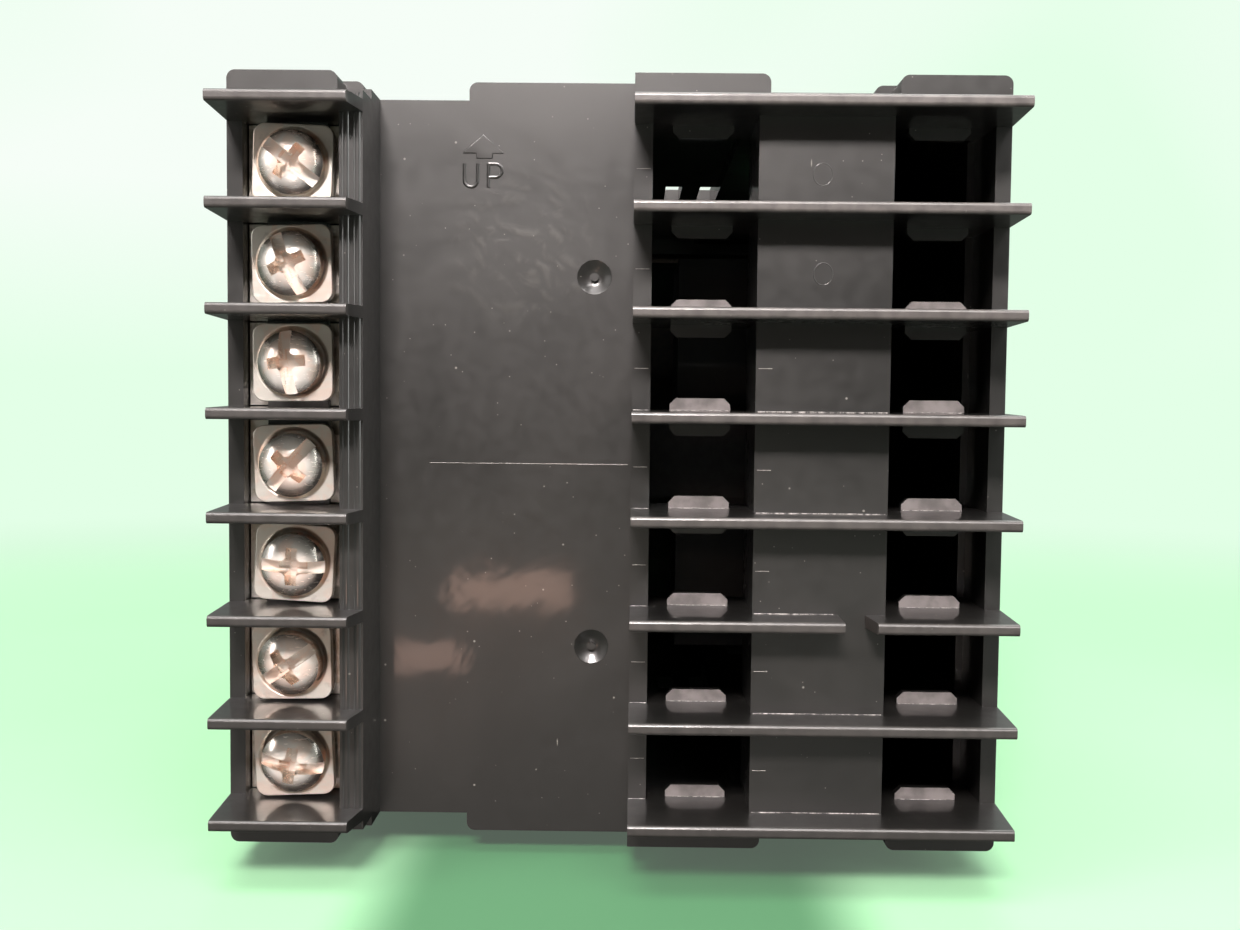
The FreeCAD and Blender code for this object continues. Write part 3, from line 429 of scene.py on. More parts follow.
def prism(points, low, high):
    """A flat shape in X and Z, given thickness along Y, as a bmesh."""
    bm = bmesh.new()
    ring = [bm.verts.new((x, low, z)) for x, z in points]
    face = bm.faces.new(ring)
    lifted = bmesh.ops.extrude_face_region(bm, geom=[face])["geom"]
    for v in lifted:
        if isinstance(v, bmesh.types.BMVert):
            v.co.y = high
    bmesh.ops.recalc_face_normals(bm, faces=bm.faces)
    return bm


def stroke(paths, width, rise, base):
    """Raised strokes along open paths in X and Z: a flattened round bead half sunk in its base."""
    curve = bpy.data.curves.new("stroke", "CURVE")
    curve.dimensions = "3D"
    curve.bevel_depth = width / 2
    curve.bevel_resolution = 3
    curve.use_fill_caps = True
    for path in paths:
        spline = curve.splines.new("POLY")
        spline.points.add(len(path) - 1)
        for point, (x, z) in zip(spline.points, path):
            point.co = (x, 0.0, z, 1.0)
    carrier = placed("stroke", curve)
    graph = bpy.context.evaluated_depsgraph_get()
    mesh = bpy.data.meshes.new_from_object(carrier.evaluated_get(graph))
    bpy.data.objects.remove(carrier)
    mesh.transform(Matrix.Translation((0, base, 0)) @ Matrix.Diagonal((1, rise / (width / 2), 1, 1)))
    smooth(mesh, 40)
    return mesh


def lathe(profile, x, z, steps=64):
    """A closed ring turned about an axis along Y, from a closed profile of radii and levels."""
    bm = bmesh.new()
    turns = [2 * math.pi * i / steps for i in range(steps)]
    rings = [
        [bm.verts.new((x + r * math.cos(t), y, z + r * math.sin(t))) for r, y in profile] for t in turns
    ]
    for one, other in zip(rings, rings[1:] + rings[:1]):
        for j in range(len(profile)):
            bm.faces.new((one[j - 1], one[j], other[j], other[j - 1]))
    bmesh.ops.recalc_face_normals(bm, faces=bm.faces)
    mesh = plain_mesh("turned", bm)
    smooth(mesh, 35)
    return mesh


# ---------------------------------------------------------------------------------------------
# Geometry Nodes


class Recipe(Tree):
    """A geometry tree with named inputs, which ends in Realize Instances and Set Material."""

    def __init__(self, name, **sizes):
        tree = bpy.data.node_groups.new(name, "GeometryNodeTree")
        super().__init__(tree)
        tree.interface.new_socket("Geometry", in_out="OUTPUT", socket_type="NodeSocketGeometry")
        kinds = {float: "NodeSocketFloat", int: "NodeSocketInt", tuple: "NodeSocketVector"}
        for key, value in sizes.items():
            socket = tree.interface.new_socket(
                key.replace("_", " "), in_out="INPUT", socket_type=kinds[type(value)]
            )
            socket.default_value = value
        tree.interface.new_socket("Material", in_out="INPUT", socket_type="NodeSocketMaterial")
        self.given = self.add("NodeGroupInput").outputs

    def __getitem__(self, name):
        return self.given[name]

    def moved(self, shape, place=(0, 0, 0), turn=(0, 0, 0), scale=(1, 1, 1)):
        return self.out(
            0, "GeometryNodeTransform",
            {"Geometry": shape, "Translation": place, "Rotation": turn, "Scale": scale},
        )

    def block(self, x, y, z):
        return self.out("Mesh", "GeometryNodeMeshCube", {"Size": self.xyz(x, y, z)})

    def cylinder(self, radius, depth, sides=48):
        return self.out(
            "Mesh", "GeometryNodeMeshCylinder", {"Vertices": sides, "Radius": radius, "Depth": depth}
        )

    def cone(self, top, bottom, depth, sides=48):
        return self.out(
            "Mesh", "GeometryNodeMeshCone",
            {"Vertices": sides, "Radius Top": top, "Radius Bottom": bottom, "Depth": depth},
        )

    def circle(self, radius, sides):
        return self.out(
            "Curve", "GeometryNodeCurvePrimitiveCircle", {"Resolution": sides, "Radius": radius}
        )

    def swept(self, path, section):
        """A bar along a path, closed at its ends."""
        along = {"Curve": path, "Profile Curve": section, "Fill Caps": True}
        return self.out("Mesh", "GeometryNodeCurveToMesh", along)

    def row(self, shape, count, start, step):
        """Copies of a shape in a straight row."""
        line = {"Count": count, "Start Location": start, "Offset": step}
        points = self.out("Mesh", "GeometryNodeMeshLine", line)
        return self.out(0, "GeometryNodeInstanceOnPoints", {"Points": points, "Instance": shape})

    def join(self, *shapes):
        return self.out(0, "GeometryNodeJoinGeometry", {0: list(reversed(shapes))})

    def cut(self, shape, *cutters):
        return self.out(
            "Mesh", "GeometryNodeMeshBoolean", {"Mesh 1": shape, "Mesh 2": list(cutters)},
            operation="DIFFERENCE", solver="EXACT",
        )

    def common(self, *shapes):
        return self.out(
            "Mesh", "GeometryNodeMeshBoolean", {"Mesh 2": list(shapes)},
            operation="INTERSECT", solver="EXACT",
        )

    def lifted(self, shape, height):
        return self.moved(shape, place=self.xyz(z=height))

    def done(self, shape):
        """Makes the shape real, gives it its material and closes the tree."""
        real = self.out(0, "GeometryNodeRealizeInstances", {0: shape})
        skin = self.out(0, "GeometryNodeSetMaterial", {"Geometry": real, "Material": self["Material"]})
        self.add("NodeGroupOutput", {0: skin})
        return self.tree


def grow(name, tree, values, material, body, rounding=None):
    """Evaluates a geometry tree once and keeps its result as a plain mesh that rides on a body."""
    obj = placed(name, bpy.data.meshes.new(name))
    mod = obj.modifiers.new("recipe", "NODES")
    mod.node_group = tree
    named = {s.name: s.identifier for s in tree.interface.items_tree if s.in_out == "INPUT"}
    for key, value in values.items():
        mod[named[key]] = value
    mod[named["Material"]] = material
    graph = bpy.context.evaluated_depsgraph_get()
    mesh = bpy.data.meshes.new_from_object(obj.evaluated_get(graph))
    obj.modifiers.clear()
    obj.data = mesh
    mesh.name = name
    if not len(mesh.polygons):
        raise RuntimeError(f"{name} came out empty")
    if rounding:
        smooth(mesh, 30)
        soften(obj, *rounding)
    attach(obj, body)
    return obj


def placing(recipe, shape):
    """Turns a small part's local +Z to +Y, turns it about that axis, leans it at its root and places it."""
    spun = recipe.moved(shape, turn=recipe.xyz(z=recipe["Turn"]))
    raised = recipe.lifted(spun, recipe["Height"])
    upright = recipe.moved(raised, turn=(-math.pi / 2, 0, 0))
    leaned = recipe.moved(upright, turn=recipe["Lean"])
    return recipe.moved(leaned, place=recipe["Place"])


def screw_head_tree():
    """Domed head with a slot cut through its rim and a cross recess."""
    r = Recipe(
        "Terminal screw head", Head_Radius=2.72 * MM, Head_Rise=2.2 * MM, Rim_Rise=1.15 * MM,
        Slot_Width=1.05 * MM, Slot_Depth=1.35 * MM, Cross_Length=3.7 * MM, Cross_Width=1.05 * MM,
        Cross_Depth=1.7 * MM, Turn=0.0, Height=0.0, Lean=(0.0, 0.0, 0.0), Place=(0.0, 0.0, 0.0),
    )
    rise, rim, radius = r["Head Rise"], r["Rim Rise"], r["Head Radius"]
    crown = r.minus(rise, rim)
    squares = r.plus(r.times(radius, radius), r.times(crown, crown))
    ball = r.math("DIVIDE", squares, r.times(crown, 2.0))
    drum = r.lifted(r.cylinder(radius, rise, 56), r.times(rise, 0.5))
    dome = r.out("Mesh", "GeometryNodeMeshUVSphere", {"Segments": 56, "Rings": 56, "Radius": ball})
    blank = r.common(drum, r.lifted(dome, r.minus(rise, ball)))
    slot = r.block(r.times(radius, 3.0), r["Slot Width"], 4 * MM)
    slot = r.lifted(slot, r.minus(r.plus(rise, 2 * MM), r["Slot Depth"]))
    depth = r["Cross Depth"]
    low = r.minus(rise, depth)
    wing = r.moved(r.cone(0.72, 0.40, 1.0, 4), turn=(0, 0, math.pi / 4))
    wings = []
    for turn in (0.0, math.pi / 2):
        sized = r.moved(wing, scale=r.xyz(r["Cross Length"], r["Cross Width"], r.times(depth, 1.1)))
        wings.append(r.lifted(r.moved(sized, turn=(0, 0, turn)), low))
    well = r.lifted(r.cone(1.0 * MM, 0.3 * MM, 1.9 * MM, 20), r.minus(rise, 1.75 * MM))
    head = r.cut(blank, slot, *wings, well)
    return r.done(placing(r, head))


def screw_thread_tree():
    """Shank with a helical thread."""
    r = Recipe(
        "Terminal screw thread", Core_Radius=1.16 * MM, Crest=0.27 * MM, Pitch=0.5 * MM, Length=7.9 * MM,
        Turn=0.0, Height=0.0, Lean=(0.0, 0.0, 0.0), Place=(0.0, 0.0, 0.0),
    )
    length, radius = r["Length"], r["Core Radius"]
    core = r.lifted(r.cylinder(radius, length, 24), r.times(length, -0.5))
    threaded = r.minus(length, 1.0 * MM)
    helix = r.out(
        "Curve", "GeometryNodeCurveSpiral",
        {
            "Resolution": 20, "Rotations": r.math("DIVIDE", threaded, r["Pitch"]),
            "Start Radius": radius, "End Radius": radius, "Height": threaded,
        },
    )
    thread = r.lifted(r.swept(helix, r.circle(r["Crest"], 3)), r.minus(0.45 * MM, length))
    return r.done(placing(r, r.join(core, thread)))


def washer_tree():
    """Square washer with rounded corners, a round dish and a bore."""
    r = Recipe(
        "Square washer", Width=6.9 * MM, Depth_Across=6.7 * MM, Corner=1.0 * MM, Thickness=0.8 * MM,
        Dish_Radius=3.12 * MM, Dish_Floor=2.75 * MM, Dish_Depth=0.42 * MM, Bore=1.6 * MM,
        Turn=0.0, Height=0.0, Lean=(0.0, 0.0, 0.0), Place=(0.0, 0.0, 0.0),
    )
    square = {"Width": r["Width"], "Height": r["Depth Across"]}
    outline = r.out("Curve", "GeometryNodeCurvePrimitiveQuadrilateral", square)
    rounding = {"Curve": outline, "Count": 7, "Radius": r["Corner"]}
    outline = r.out("Curve", "GeometryNodeFilletCurve", rounding, mode="POLY")
    flat = r.out("Mesh", "GeometryNodeFillCurve", {"Curve": outline}, mode="NGONS")
    raised = r.out(
        "Mesh", "GeometryNodeExtrudeMesh",
        {"Mesh": flat, "Offset": r.xyz(z=r["Thickness"]), "Offset Scale": 1.0, "Individual": False},
    )
    under = r.out("Mesh", "GeometryNodeFlipFaces", {"Mesh": flat})
    closed = {0: r.join(raised, under), "Distance": 0.005 * MM}
    plate = r.out(0, "GeometryNodeMergeByDistance", closed)
    deep = r.times(r["Dish Depth"], 2.0)
    flare = r.minus(r["Dish Radius"], r["Dish Floor"])
    dish = r.cone(r.plus(r["Dish Radius"], flare), r["Dish Floor"], deep, 64)
    dish = r.lifted(dish, r.minus(r["Thickness"], r["Dish Depth"]))
    bore = r.cylinder(r["Bore"], 6 * MM, 48)
    return r.done(placing(r, r.cut(plate, dish, bore)))


def witness_tree():
    """Fine raised lines at every row of a wall, left by the mould's parting."""
    r = Recipe(
        "Witness lines", Rows=7, Pitch=ROW_PITCH, Length=1.1 * MM, Thickness=0.05 * MM, Rise=0.03 * MM,
        First=(0.0, 0.0, 0.0),
    )
    line = r.moved(r.cylinder(0.5, 1.0, 8), turn=(0, math.pi / 2, 0))
    line = r.moved(line, scale=r.xyz(r["Length"], r.times(r["Rise"], 2.0), r["Thickness"]))
    return r.done(r.row(line, r["Rows"], r["First"], r.xyz(z=r.times(r["Pitch"], -1.0))))


def ring_tree():
    """A fine raised ring, left by an ejector pin."""
    r = Recipe("Ejector ring", Radius=0.8 * MM, Thickness=0.04 * MM, Place=(0.0, 0.0, 0.0), Stretch=1.15)
    ring = r.swept(r.circle(r["Radius"], 48), r.circle(r["Thickness"], 8))
    ring = r.moved(ring, turn=(math.pi / 2, 0, 0))
    ring = r.moved(ring, scale=r.xyz(1.0, 0.35, r["Stretch"]), place=r["Place"])
    return r.done(ring)


def digits_tree():
    """Unlit seven-segment digits in a row, lying just on the face of their module."""
    r = Recipe(
        "Seven segment digits", Count=4, Spacing=10.0 * MM, Tall=12.0 * MM, Wide=6.6 * MM, Bar=1.25 * MM,
        Rise=0.12 * MM, Centre=(0.0, 0.0, 0.0),
    )
    tall, wide, bar = r["Tall"], r["Wide"], r["Bar"]
    half, quarter, side = r.times(tall, 0.5), r.times(tall, 0.25), r.times(wide, 0.5)

    def segment(length, x, z, upright):
        body = r.moved(r.cylinder(0.5, 1.0, 6), turn=(math.pi / 2, 0, 0))
        inner = r.minus(length, r.times(bar, 0.25))
        size = r.xyz(bar, r["Rise"], inner) if upright else r.xyz(inner, r["Rise"], bar)
        return r.moved(body, scale=size, place=r.xyz(x, 0.0, z))

    foot = r.times(half, -1.0)
    parts = [
        segment(half, x, z, True)
        for x in (side, r.times(side, -1.0)) for z in (quarter, r.times(quarter, -1.0))
    ]
    parts += [segment(wide, 0.0, z, False) for z in (half, 0.0, foot)]
    point = r.moved(r.cylinder(0.5, 1.0, 12), turn=(math.pi / 2, 0, 0))
    beside = r.xyz(r.plus(side, r.times(bar, 1.2)), 0.0, foot)
    parts.append(r.moved(point, scale=r.xyz(bar, r["Rise"], bar), place=beside))
    digit = r.join(*parts)
    start = r.times(r.times(r.minus(r["Count"], 1.0), r["Spacing"]), -0.5)
    row = r.row(digit, r["Count"], r.xyz(start), r.xyz(r["Spacing"]))
    return r.done(r.moved(row, place=r["Centre"]))


# ---------------------------------------------------------------------------------------------
# Sizes and colours that a user may change


def as_length(name, description, default):
    return FloatProperty(
        name=name, description=description, default=default, min=0.01 * MM, unit="LENGTH", precision=5
    )


def as_colour(name, description, default):
    return FloatVectorProperty(
        name=name, description=description, default=default, subtype="COLOR", min=0, max=1
    )


def as_share(name, description, default):
    return FloatProperty(name=name, description=description, default=default, min=0, max=1)


class ControllerSizes(bpy.types.PropertyGroup):
    """Sizes of the small parts."""

    edge_round: as_length("Edge rounding", "Rounding of the moulded edges", 0.09 * MM)
    head_radius: as_length("Head radius", "Terminal screw head", 2.72 * MM)
    head_rise: as_length("Head rise", "Top of the domed head above its seat", 2.25 * MM)
    slot_width: as_length("Slot width", "Slot across the head", 1.05 * MM)
    washer_width: as_length("Washer width", "Square washer, across", 6.9 * MM)
    washer_corner: as_length("Washer corner", "Corner radius of a washer", 1.0 * MM)
    letter_stroke: as_length("Letter stroke", "Width of the raised strokes", 0.31 * MM)
    letter_rise: as_length("Letter rise", "How far the raised marks stand out", 0.075 * MM)
    digit_count: IntProperty(
        name="Digits", description="Digits in each display row", default=4, min=1, max=6
    )


class ControllerLooks(bpy.types.PropertyGroup):
    """Colours, gloss and light."""

    plastic: as_colour("Plastic", "Moulded case", (0.0095, 0.0092, 0.0085))
    plastic_worn: as_colour("Worn plastic", "Clouded patches of the case", (0.016, 0.0148, 0.0135))
    dust: as_colour("Dust", "Dust specks and burrs", (0.42, 0.40, 0.36))
    # Wear and painted highlight on the ribs' rear edges.
    rib_wear_and_highlight: as_colour("Rib edge wear and highlight", "Wear and painted highlight on the ribs' rear edges", (0.135, 0.120, 0.114))
    # Painted highlight on the upper stop tabs.
    tab_highlight: as_colour("Tab highlight", "Painted highlight on the lit faces of the stop tabs", (0.25, 0.225, 0.222))
    skin_roughness: as_share("Skin roughness", "Roughness of the moulded skin", 0.40)
    skin_shine: as_share("Skin shine", "Specular level of the moulded skin", 0.95)
    nickel: as_colour("Nickel", "Plated screws", (0.94, 0.89, 0.83))
    nickel_warm: as_colour("Warm nickel", "Warm patches on the screws", (0.98, 0.81, 0.71))
    washer: as_colour("Washer", "Plated washers", (0.84, 0.80, 0.73))
    washer_warm: as_colour("Warm washer", "Warm patches on the washers", (0.88, 0.75, 0.66))
    plate_worn: as_colour("Worn plate", "Worn patches on the terminal plates", (0.62, 0.56, 0.46))
    backdrop: as_colour("Backdrop", "Pale floor and backdrop", (0.77, 1.0, 0.80))
    main_power: FloatProperty(
        name="Main light", description="Main light from above", default=3.5, min=0, unit="POWER"
    )
    back_power: FloatProperty(
        name="Back light", description="Light from the far side", default=1.8, min=0, unit="POWER"
    )
    room_light: FloatProperty(name="Room light", description="Light from all round", default=0.22, min=0)


def sizes():
    return bpy.context.scene.controller_sizes


def give(material, *nodes):
    """Puts a material on CAD nodes."""
    for node in nodes:
        mesh = NODES[node].data
        mesh.materials.clear()
        mesh.materials.append(material)


# ---------------------------------------------------------------------------------------------
# Operators


class CONTROLLER_OT_case(bpy.types.Operator):
    """Make the finished case and bezel from the frame's own shapes"""

    bl_idname = "controller.case"
    bl_label = "Case and bezel"

    def execute(self, context):
        for name, node, skin in (
            ("case_shell", "case", moulded_black("Black moulded case", blush=True)),
            ("front_bezel", "bezel", moulded_black("Black moulded bezel", gloss=0.06)),
        ):
            shell = even(piece(name, joined_copy(node, sizes().edge_round, 1.2 * MM), "housing", skin))
            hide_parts(node)
        return {"FINISHED"}


def arc(x, z, radius, start, stop, steps=10):
    """Points round a centre, with angles in degrees from +X towards +Z."""
    turns = [math.radians(start + (stop - start) * i / steps) for i in range(steps + 1)]
    return [(x + radius * math.cos(t), z + radius * math.sin(t)) for t in turns]


class CONTROLLER_OT_marks(bpy.types.Operator):
    """Raise the arrow and letters that show which way up the controller goes"""

    bl_idname = "controller.marks"
    bl_label = "Raised marks"

    def execute(self, context):
        s = sizes()
        black = moulded_black("Black moulded marks", gloss=-0.05)
        arrow = [
            (12.05, 29.18), (13.83, 27.62), (13.83, 27.50), (12.70, 27.50), (12.66, 27.05),
            (11.23, 27.05), (11.20, 27.50), (10.25, 27.50), (10.25, 27.62),
        ]
        root, top = PANEL_FACE - 0.05 * MM, PANEL_FACE + s.letter_rise
        bm = prism([(x * MM, z * MM) for x, z in arrow], root, top)
        rim = [e for e in bm.edges if all(v.co.y > PANEL_FACE for v in e.verts)]
        bmesh.ops.bevel(
            bm, geom=rim, offset=0.07 * MM, segments=3, profile=0.5, affect="EDGES", clamp_overlap=True
        )
        mesh = plain_mesh("arrow", bm)
        smooth(mesh, 40)
        even(piece("up_arrow", mesh, "housing", black))
        left, right, top_z, low = 13.73 * MM, 12.55 * MM, 26.60 * MM, 24.55 * MM
        half = (left - right) / 2
        middle = (left + right) / 2
        u = [(left, top_z)] + arc(middle, low + half, half, 0, -180) + [(right, top_z)]
        spine, bowl_x, bowl_low = 11.58 * MM, 10.95 * MM, 25.42 * MM
        bowl = (top_z - bowl_low) / 2
        p = [(spine, low), (spine, top_z)]
        p_bowl = [(spine, top_z)] + arc(bowl_x, bowl_low + bowl, bowl, 90, 270) + [(spine, bowl_low)]
        letters = stroke([u, p, p_bowl], s.letter_stroke, s.letter_rise, PANEL_FACE)
        piece("up_letters", letters, "housing", black)
        return {"FINISHED"}


class CONTROLLER_OT_witness(bpy.types.Operator):
    """Add the parting lines, flash, ejector rings, gate bowls and ridges that the mould leaves"""

    bl_idname = "controller.witness"
    bl_label = "Mould lines"

    def execute(self, context):
        # The pale tone of the raised mould lines is a painted highlight along their crests.
        pale = painted("Bright mould line", (0.30, 0.28, 0.26), (0.5, 0.48, 0.44), 0.3, 3000.0)
        # The broken pale tone of the flash at the ribs' feet is a painted highlight along the corner.
        flash = painted("Worn flash", (0.03, 0.028, 0.027), (0.62, 0.58, 0.56), 0.3, 2600.0)
        black = moulded_black("Black moulded ridges")
        glossy = moulded_black("Black moulded gate bowls", gloss=-0.08)

        # Name, middle across, face, length, first row, rows, and kind; lengths in millimetres.
        # A kind has its finish, width, rise, and place below the middle of the row.
        tree = witness_tree()
        fine, burr = (pale, 0.05, 0.03, 0.1 * MM), (flash, 0.09, 0.05, RIB_FOOT)
        for name, x, face, span, first, count, (skin, width, rise, drop) in (
            ("witness_lines_walls", -12.6, MIDDLE_WALL_FACE, 1.15, 3, 5, fine),
            ("witness_lines_spare_wall", -2.2, BLOCK_FACE, 1.2, 1, 7, fine),
            ("panel_parting_line", 7.85, PANEL_FACE, 17.9, 4, 1, (pale, 0.045, 0.02, 0.1 * MM)),
            ("flash_strips_upper", -17.45, MIDDLE_WALL_FACE, 10.9, 3, 2, burr),
            ("flash_strip_5", -15.3, MIDDLE_WALL_FACE, 6.7, 5, 1, burr),
            ("flash_strips_lower", -17.45, MIDDLE_WALL_FACE, 10.9, 6, 2, burr),
            ("flash_near_tabs", -7.35, TAB_FACE, 5.0, 3, 5, burr),
            ("flash_far_tabs", -27.75, TAB_FACE, 5.0, 3, 5, burr),
            ("flash_spare_wall", -2.2, BLOCK_FACE, 1.4, 3, 5, burr),
        ):
            grow(
                name, tree,
                {
                    "Rows": count, "Length": span * MM, "Thickness": width * MM, "Rise": rise * MM,
                    "First": (x * MM, face, row_level(first) - drop),
                },
                skin, "housing",
            )
        tree = ring_tree()
        for i, (x, z) in enumerate(((-17.14, 24.65), (-17.3, 16.4)), 1):
            place = (x * MM, MIDDLE_WALL_FACE, z * MM)
            grow(f"ejector_ring_{i}", tree, {"Place": place}, black, "housing")
        # Radius and level of each point of a bowl's closed section.
        bowl = (
            (1.53, 0.0), (1.47, -0.025), (1.34, -0.085), (1.15, -0.18), (0.95, -0.28), (0.75, -0.36),
            (0.55, -0.415), (0.42, -0.43), (0.42, -0.448), (1.53, -0.448),
        )
        bowl = [(r * MM, PANEL_FACE + y * MM) for r, y in bowl]
        for i, up in enumerate((16.65, -16.65), 1):
            piece(f"gate_bowl_{i}", lathe(bowl, 2.05 * MM, up * MM), "housing", glossy)
        for i, x in enumerate((21.75, 22.72), 1):
            path = [(x * MM, -31.0 * MM), (x * MM, 31.0 * MM)]
            ridge = stroke([path], 0.62 * MM, 0.13 * MM, WIRED_WALL_FACE - 0.02 * MM)
            piece(f"wall_ridge_{i}", ridge, "housing", black)
        return {"FINISHED"}


class CONTROLLER_OT_screws(bpy.types.Operator):
    """Make the seven terminal screws, with slotted and crossed heads"""

    bl_idname = "controller.screws"
    bl_label = "Terminal screws"

    def execute(self, context):
        s, c = sizes(), looks()
        nickel = plated("Nickel-plated screws", c.nickel, c.nickel_warm, 0.18, 0.12, 0.02 * MM, 0.85)
        heads, threads = screw_head_tree(), screw_thread_tree()
        for row in ROWS:
            low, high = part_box(f"terminal_screw_{row}")
            seat = high.y - 1.9 * MM
            across, up = HEAD_LEAN[row - 1]
            reach = seat - PLATE_REAR + 1.2 * MM
            lean = (math.atan(up * MM / reach), 0.0, math.atan(across * MM / reach))
            shared = {
                "Turn": math.radians(SLOT_ANGLES[row - 1]), "Lean": lean,
                "Place": ((low.x + high.x) / 2, PLATE_REAR, (low.z + high.z) / 2),
                "Height": seat - PLATE_REAR,
            }
            head = grow(
                f"screw_head_{row}", heads,
                {
                    **shared, "Head Radius": s.head_radius, "Head Rise": s.head_rise,
                    "Slot Width": s.slot_width,
                },
                nickel, f"screw_{row}", (0.09 * MM, 35),
            )
            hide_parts(f"terminal_screw_{row}")
            # The shank stays straight, so that it runs clear of its plate when the screw lifts.
            straight = {**shared, "Lean": (0.0, 0.0, 0.0)}
            thread = grow(f"screw_thread_{row}", threads, straight, nickel, f"screw_{row}")
            smooth(thread.data, 35)
        return {"FINISHED"}


class CONTROLLER_OT_washers(bpy.types.Operator):
    """Make the seven square washers, dished for their screws"""

    bl_idname = "controller.washers"
    bl_label = "Square washers"

    def execute(self, context):
        s, c = sizes(), looks()
        nickel = plated("Nickel-plated washers", c.washer, c.washer_warm, 0.38, 0.12, 0.02 * MM, 0.32)
        tree = washer_tree()
        for row in ROWS:
            low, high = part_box(f"square_washer_{row}")
            across, up = WASHER_SHIFTS[row - 1]
            washer = grow(
                f"dished_washer_{row}", tree,
                {
                    "Width": s.washer_width, "Corner": s.washer_corner,
                    "Turn": math.radians(WASHER_TURNS[row - 1]),
                    "Place": ((low.x + high.x) / 2 - across * MM, low.y, (low.z + high.z) / 2 + up * MM),
                },
                nickel, f"washer_{row}", (0.10 * MM, 25, 3),
            )
            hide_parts(f"square_washer_{row}")
        return {"FINISHED"}


class CONTROLLER_OT_plates(bpy.types.Operator):
    """Give the terminal plates their worn plating"""

    bl_idname = "controller.plates"
    bl_label = "Terminal plates"

    def execute(self, context):
        c = looks()
        give(
            plated("Plated terminal plates", c.nickel, c.plate_worn, 0.30, 0.2, 0.02 * MM),
            *[f"terminal_plate_{row}" for row in ROWS],
        )
        return {"FINISHED"}


class CONTROLLER_OT_display(bpy.types.Operator):
    """Finish the smoked window, its unlit digits and the lamps"""

    bl_idname = "controller.display"
    bl_label = "Display"

    def execute(self, context):
        s = sizes()
        give(smoked_glass("Smoked window"), "display_window")
        faces = painted("Digit module faces", (0.035, 0.035, 0.037), (0.05, 0.05, 0.052), 0.55)
        give(faces, "pv_display", "sv_display")
        lamps = painted("Unlit lamps", (0.30, 0.28, 0.25), (0.36, 0.33, 0.30), 0.25, Coat_Weight=0.4)
        give(lamps, "indicator_lamps")
        unlit = painted("Unlit segments", (0.33, 0.31, 0.29), (0.40, 0.38, 0.36), 0.35)
        tree = digits_tree()
        for node, fill in (("pv_display", 0.74), ("sv_display", 0.72)):
            low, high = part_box(node)
            tall = (high.z - low.z) * fill
            spacing = (high.x - low.x) / s.digit_count
            grow(
                node + "_segments", tree,
                {
                    "Count": s.digit_count, "Spacing": spacing, "Tall": tall * 0.86,
                    "Wide": spacing * 0.52, "Bar": tall * 0.105,
                    "Centre": ((low.x + high.x) / 2, low.y, (low.z + high.z) / 2),
                },
                unlit, "housing",
            )
        return {"FINISHED"}


class CONTROLLER_OT_keys(bpy.types.Operator):
    """Make the four key caps with softened edges"""

    bl_idname = "controller.keys"
    bl_label = "Keys"

    def execute(self, context):
        grey = painted("Key caps", (0.055, 0.057, 0.06), (0.07, 0.071, 0.073), 0.42, 1800.0)
        for name in ("key_set", "key_shift", "key_down", "key_up"):
            cap = even(piece(name + "_cap", joined_copy(name, 0.08 * MM, 0.8 * MM), name, grey))
            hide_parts(name)
        give(
            painted("Switch plungers", (0.18, 0.17, 0.16), (0.22, 0.21, 0.20), 0.4),
            "plunger_set", "plunger_shift", "plunger_down", "plunger_up",
        )
        return {"FINISHED"}


class CONTROLLER_OT_inside(bpy.types.Operator):
    """Give the boards and parts inside the case their finishes"""

    bl_idname = "controller.inside"
    bl_label = "Inside the case"

    def execute(self, context):
        give(
            circuit_board("Green circuit board", (0.008, 0.038, 0.018), (0.02, 0.07, 0.03)),
            "display_board", "main_board", "power_board",
        )
        # Name, its two tones, roughness, scale of the mottling, and what it is on.
        for name, tone, other, roughness, scale, nodes in (
            ("Contact strip", (0.025, 0.025, 0.027), (0.04, 0.04, 0.042), 0.5, 900.0,
             ("contact_strip", "rear_spacer")),
            ("Transformer core", (0.035, 0.032, 0.03), (0.06, 0.05, 0.042), 0.5, 1500.0, ("transformer",)),
            ("Relay covers", (0.012, 0.013, 0.014), (0.018, 0.018, 0.019), 0.4, 900.0,
             ("relay_control", "relay_alarm")),
            ("Capacitor sleeve", (0.012, 0.013, 0.018), (0.018, 0.02, 0.027), 0.35, 900.0,
             ("smoothing_capacitor",)),
            ("Processor body", (0.02, 0.02, 0.022), (0.03, 0.03, 0.032), 0.55, 900.0, ("processor",)),
            ("Push switches", (0.03, 0.03, 0.03), (0.045, 0.045, 0.045), 0.45, 900.0,
             ("switch_set", "switch_shift", "switch_down", "switch_up")),
        ):
            give(painted(name, tone, other, roughness, scale), *nodes)
        return {"FINISHED"}


# Camera axes in the frame's own directions: to its right, up and back.
CAMERA_PLACE = (-1.34 * MM, 201.04 * MM, 5.68 * MM)
CAMERA_AXES = ((-0.99991, -0.00893, 0.01019), (0.01064, -0.05189, 0.99860), (-0.00839, 0.99861, 0.05198))
CAMERA_LENS = 36.05
REAR = (0.0, 0.09, 0.0)
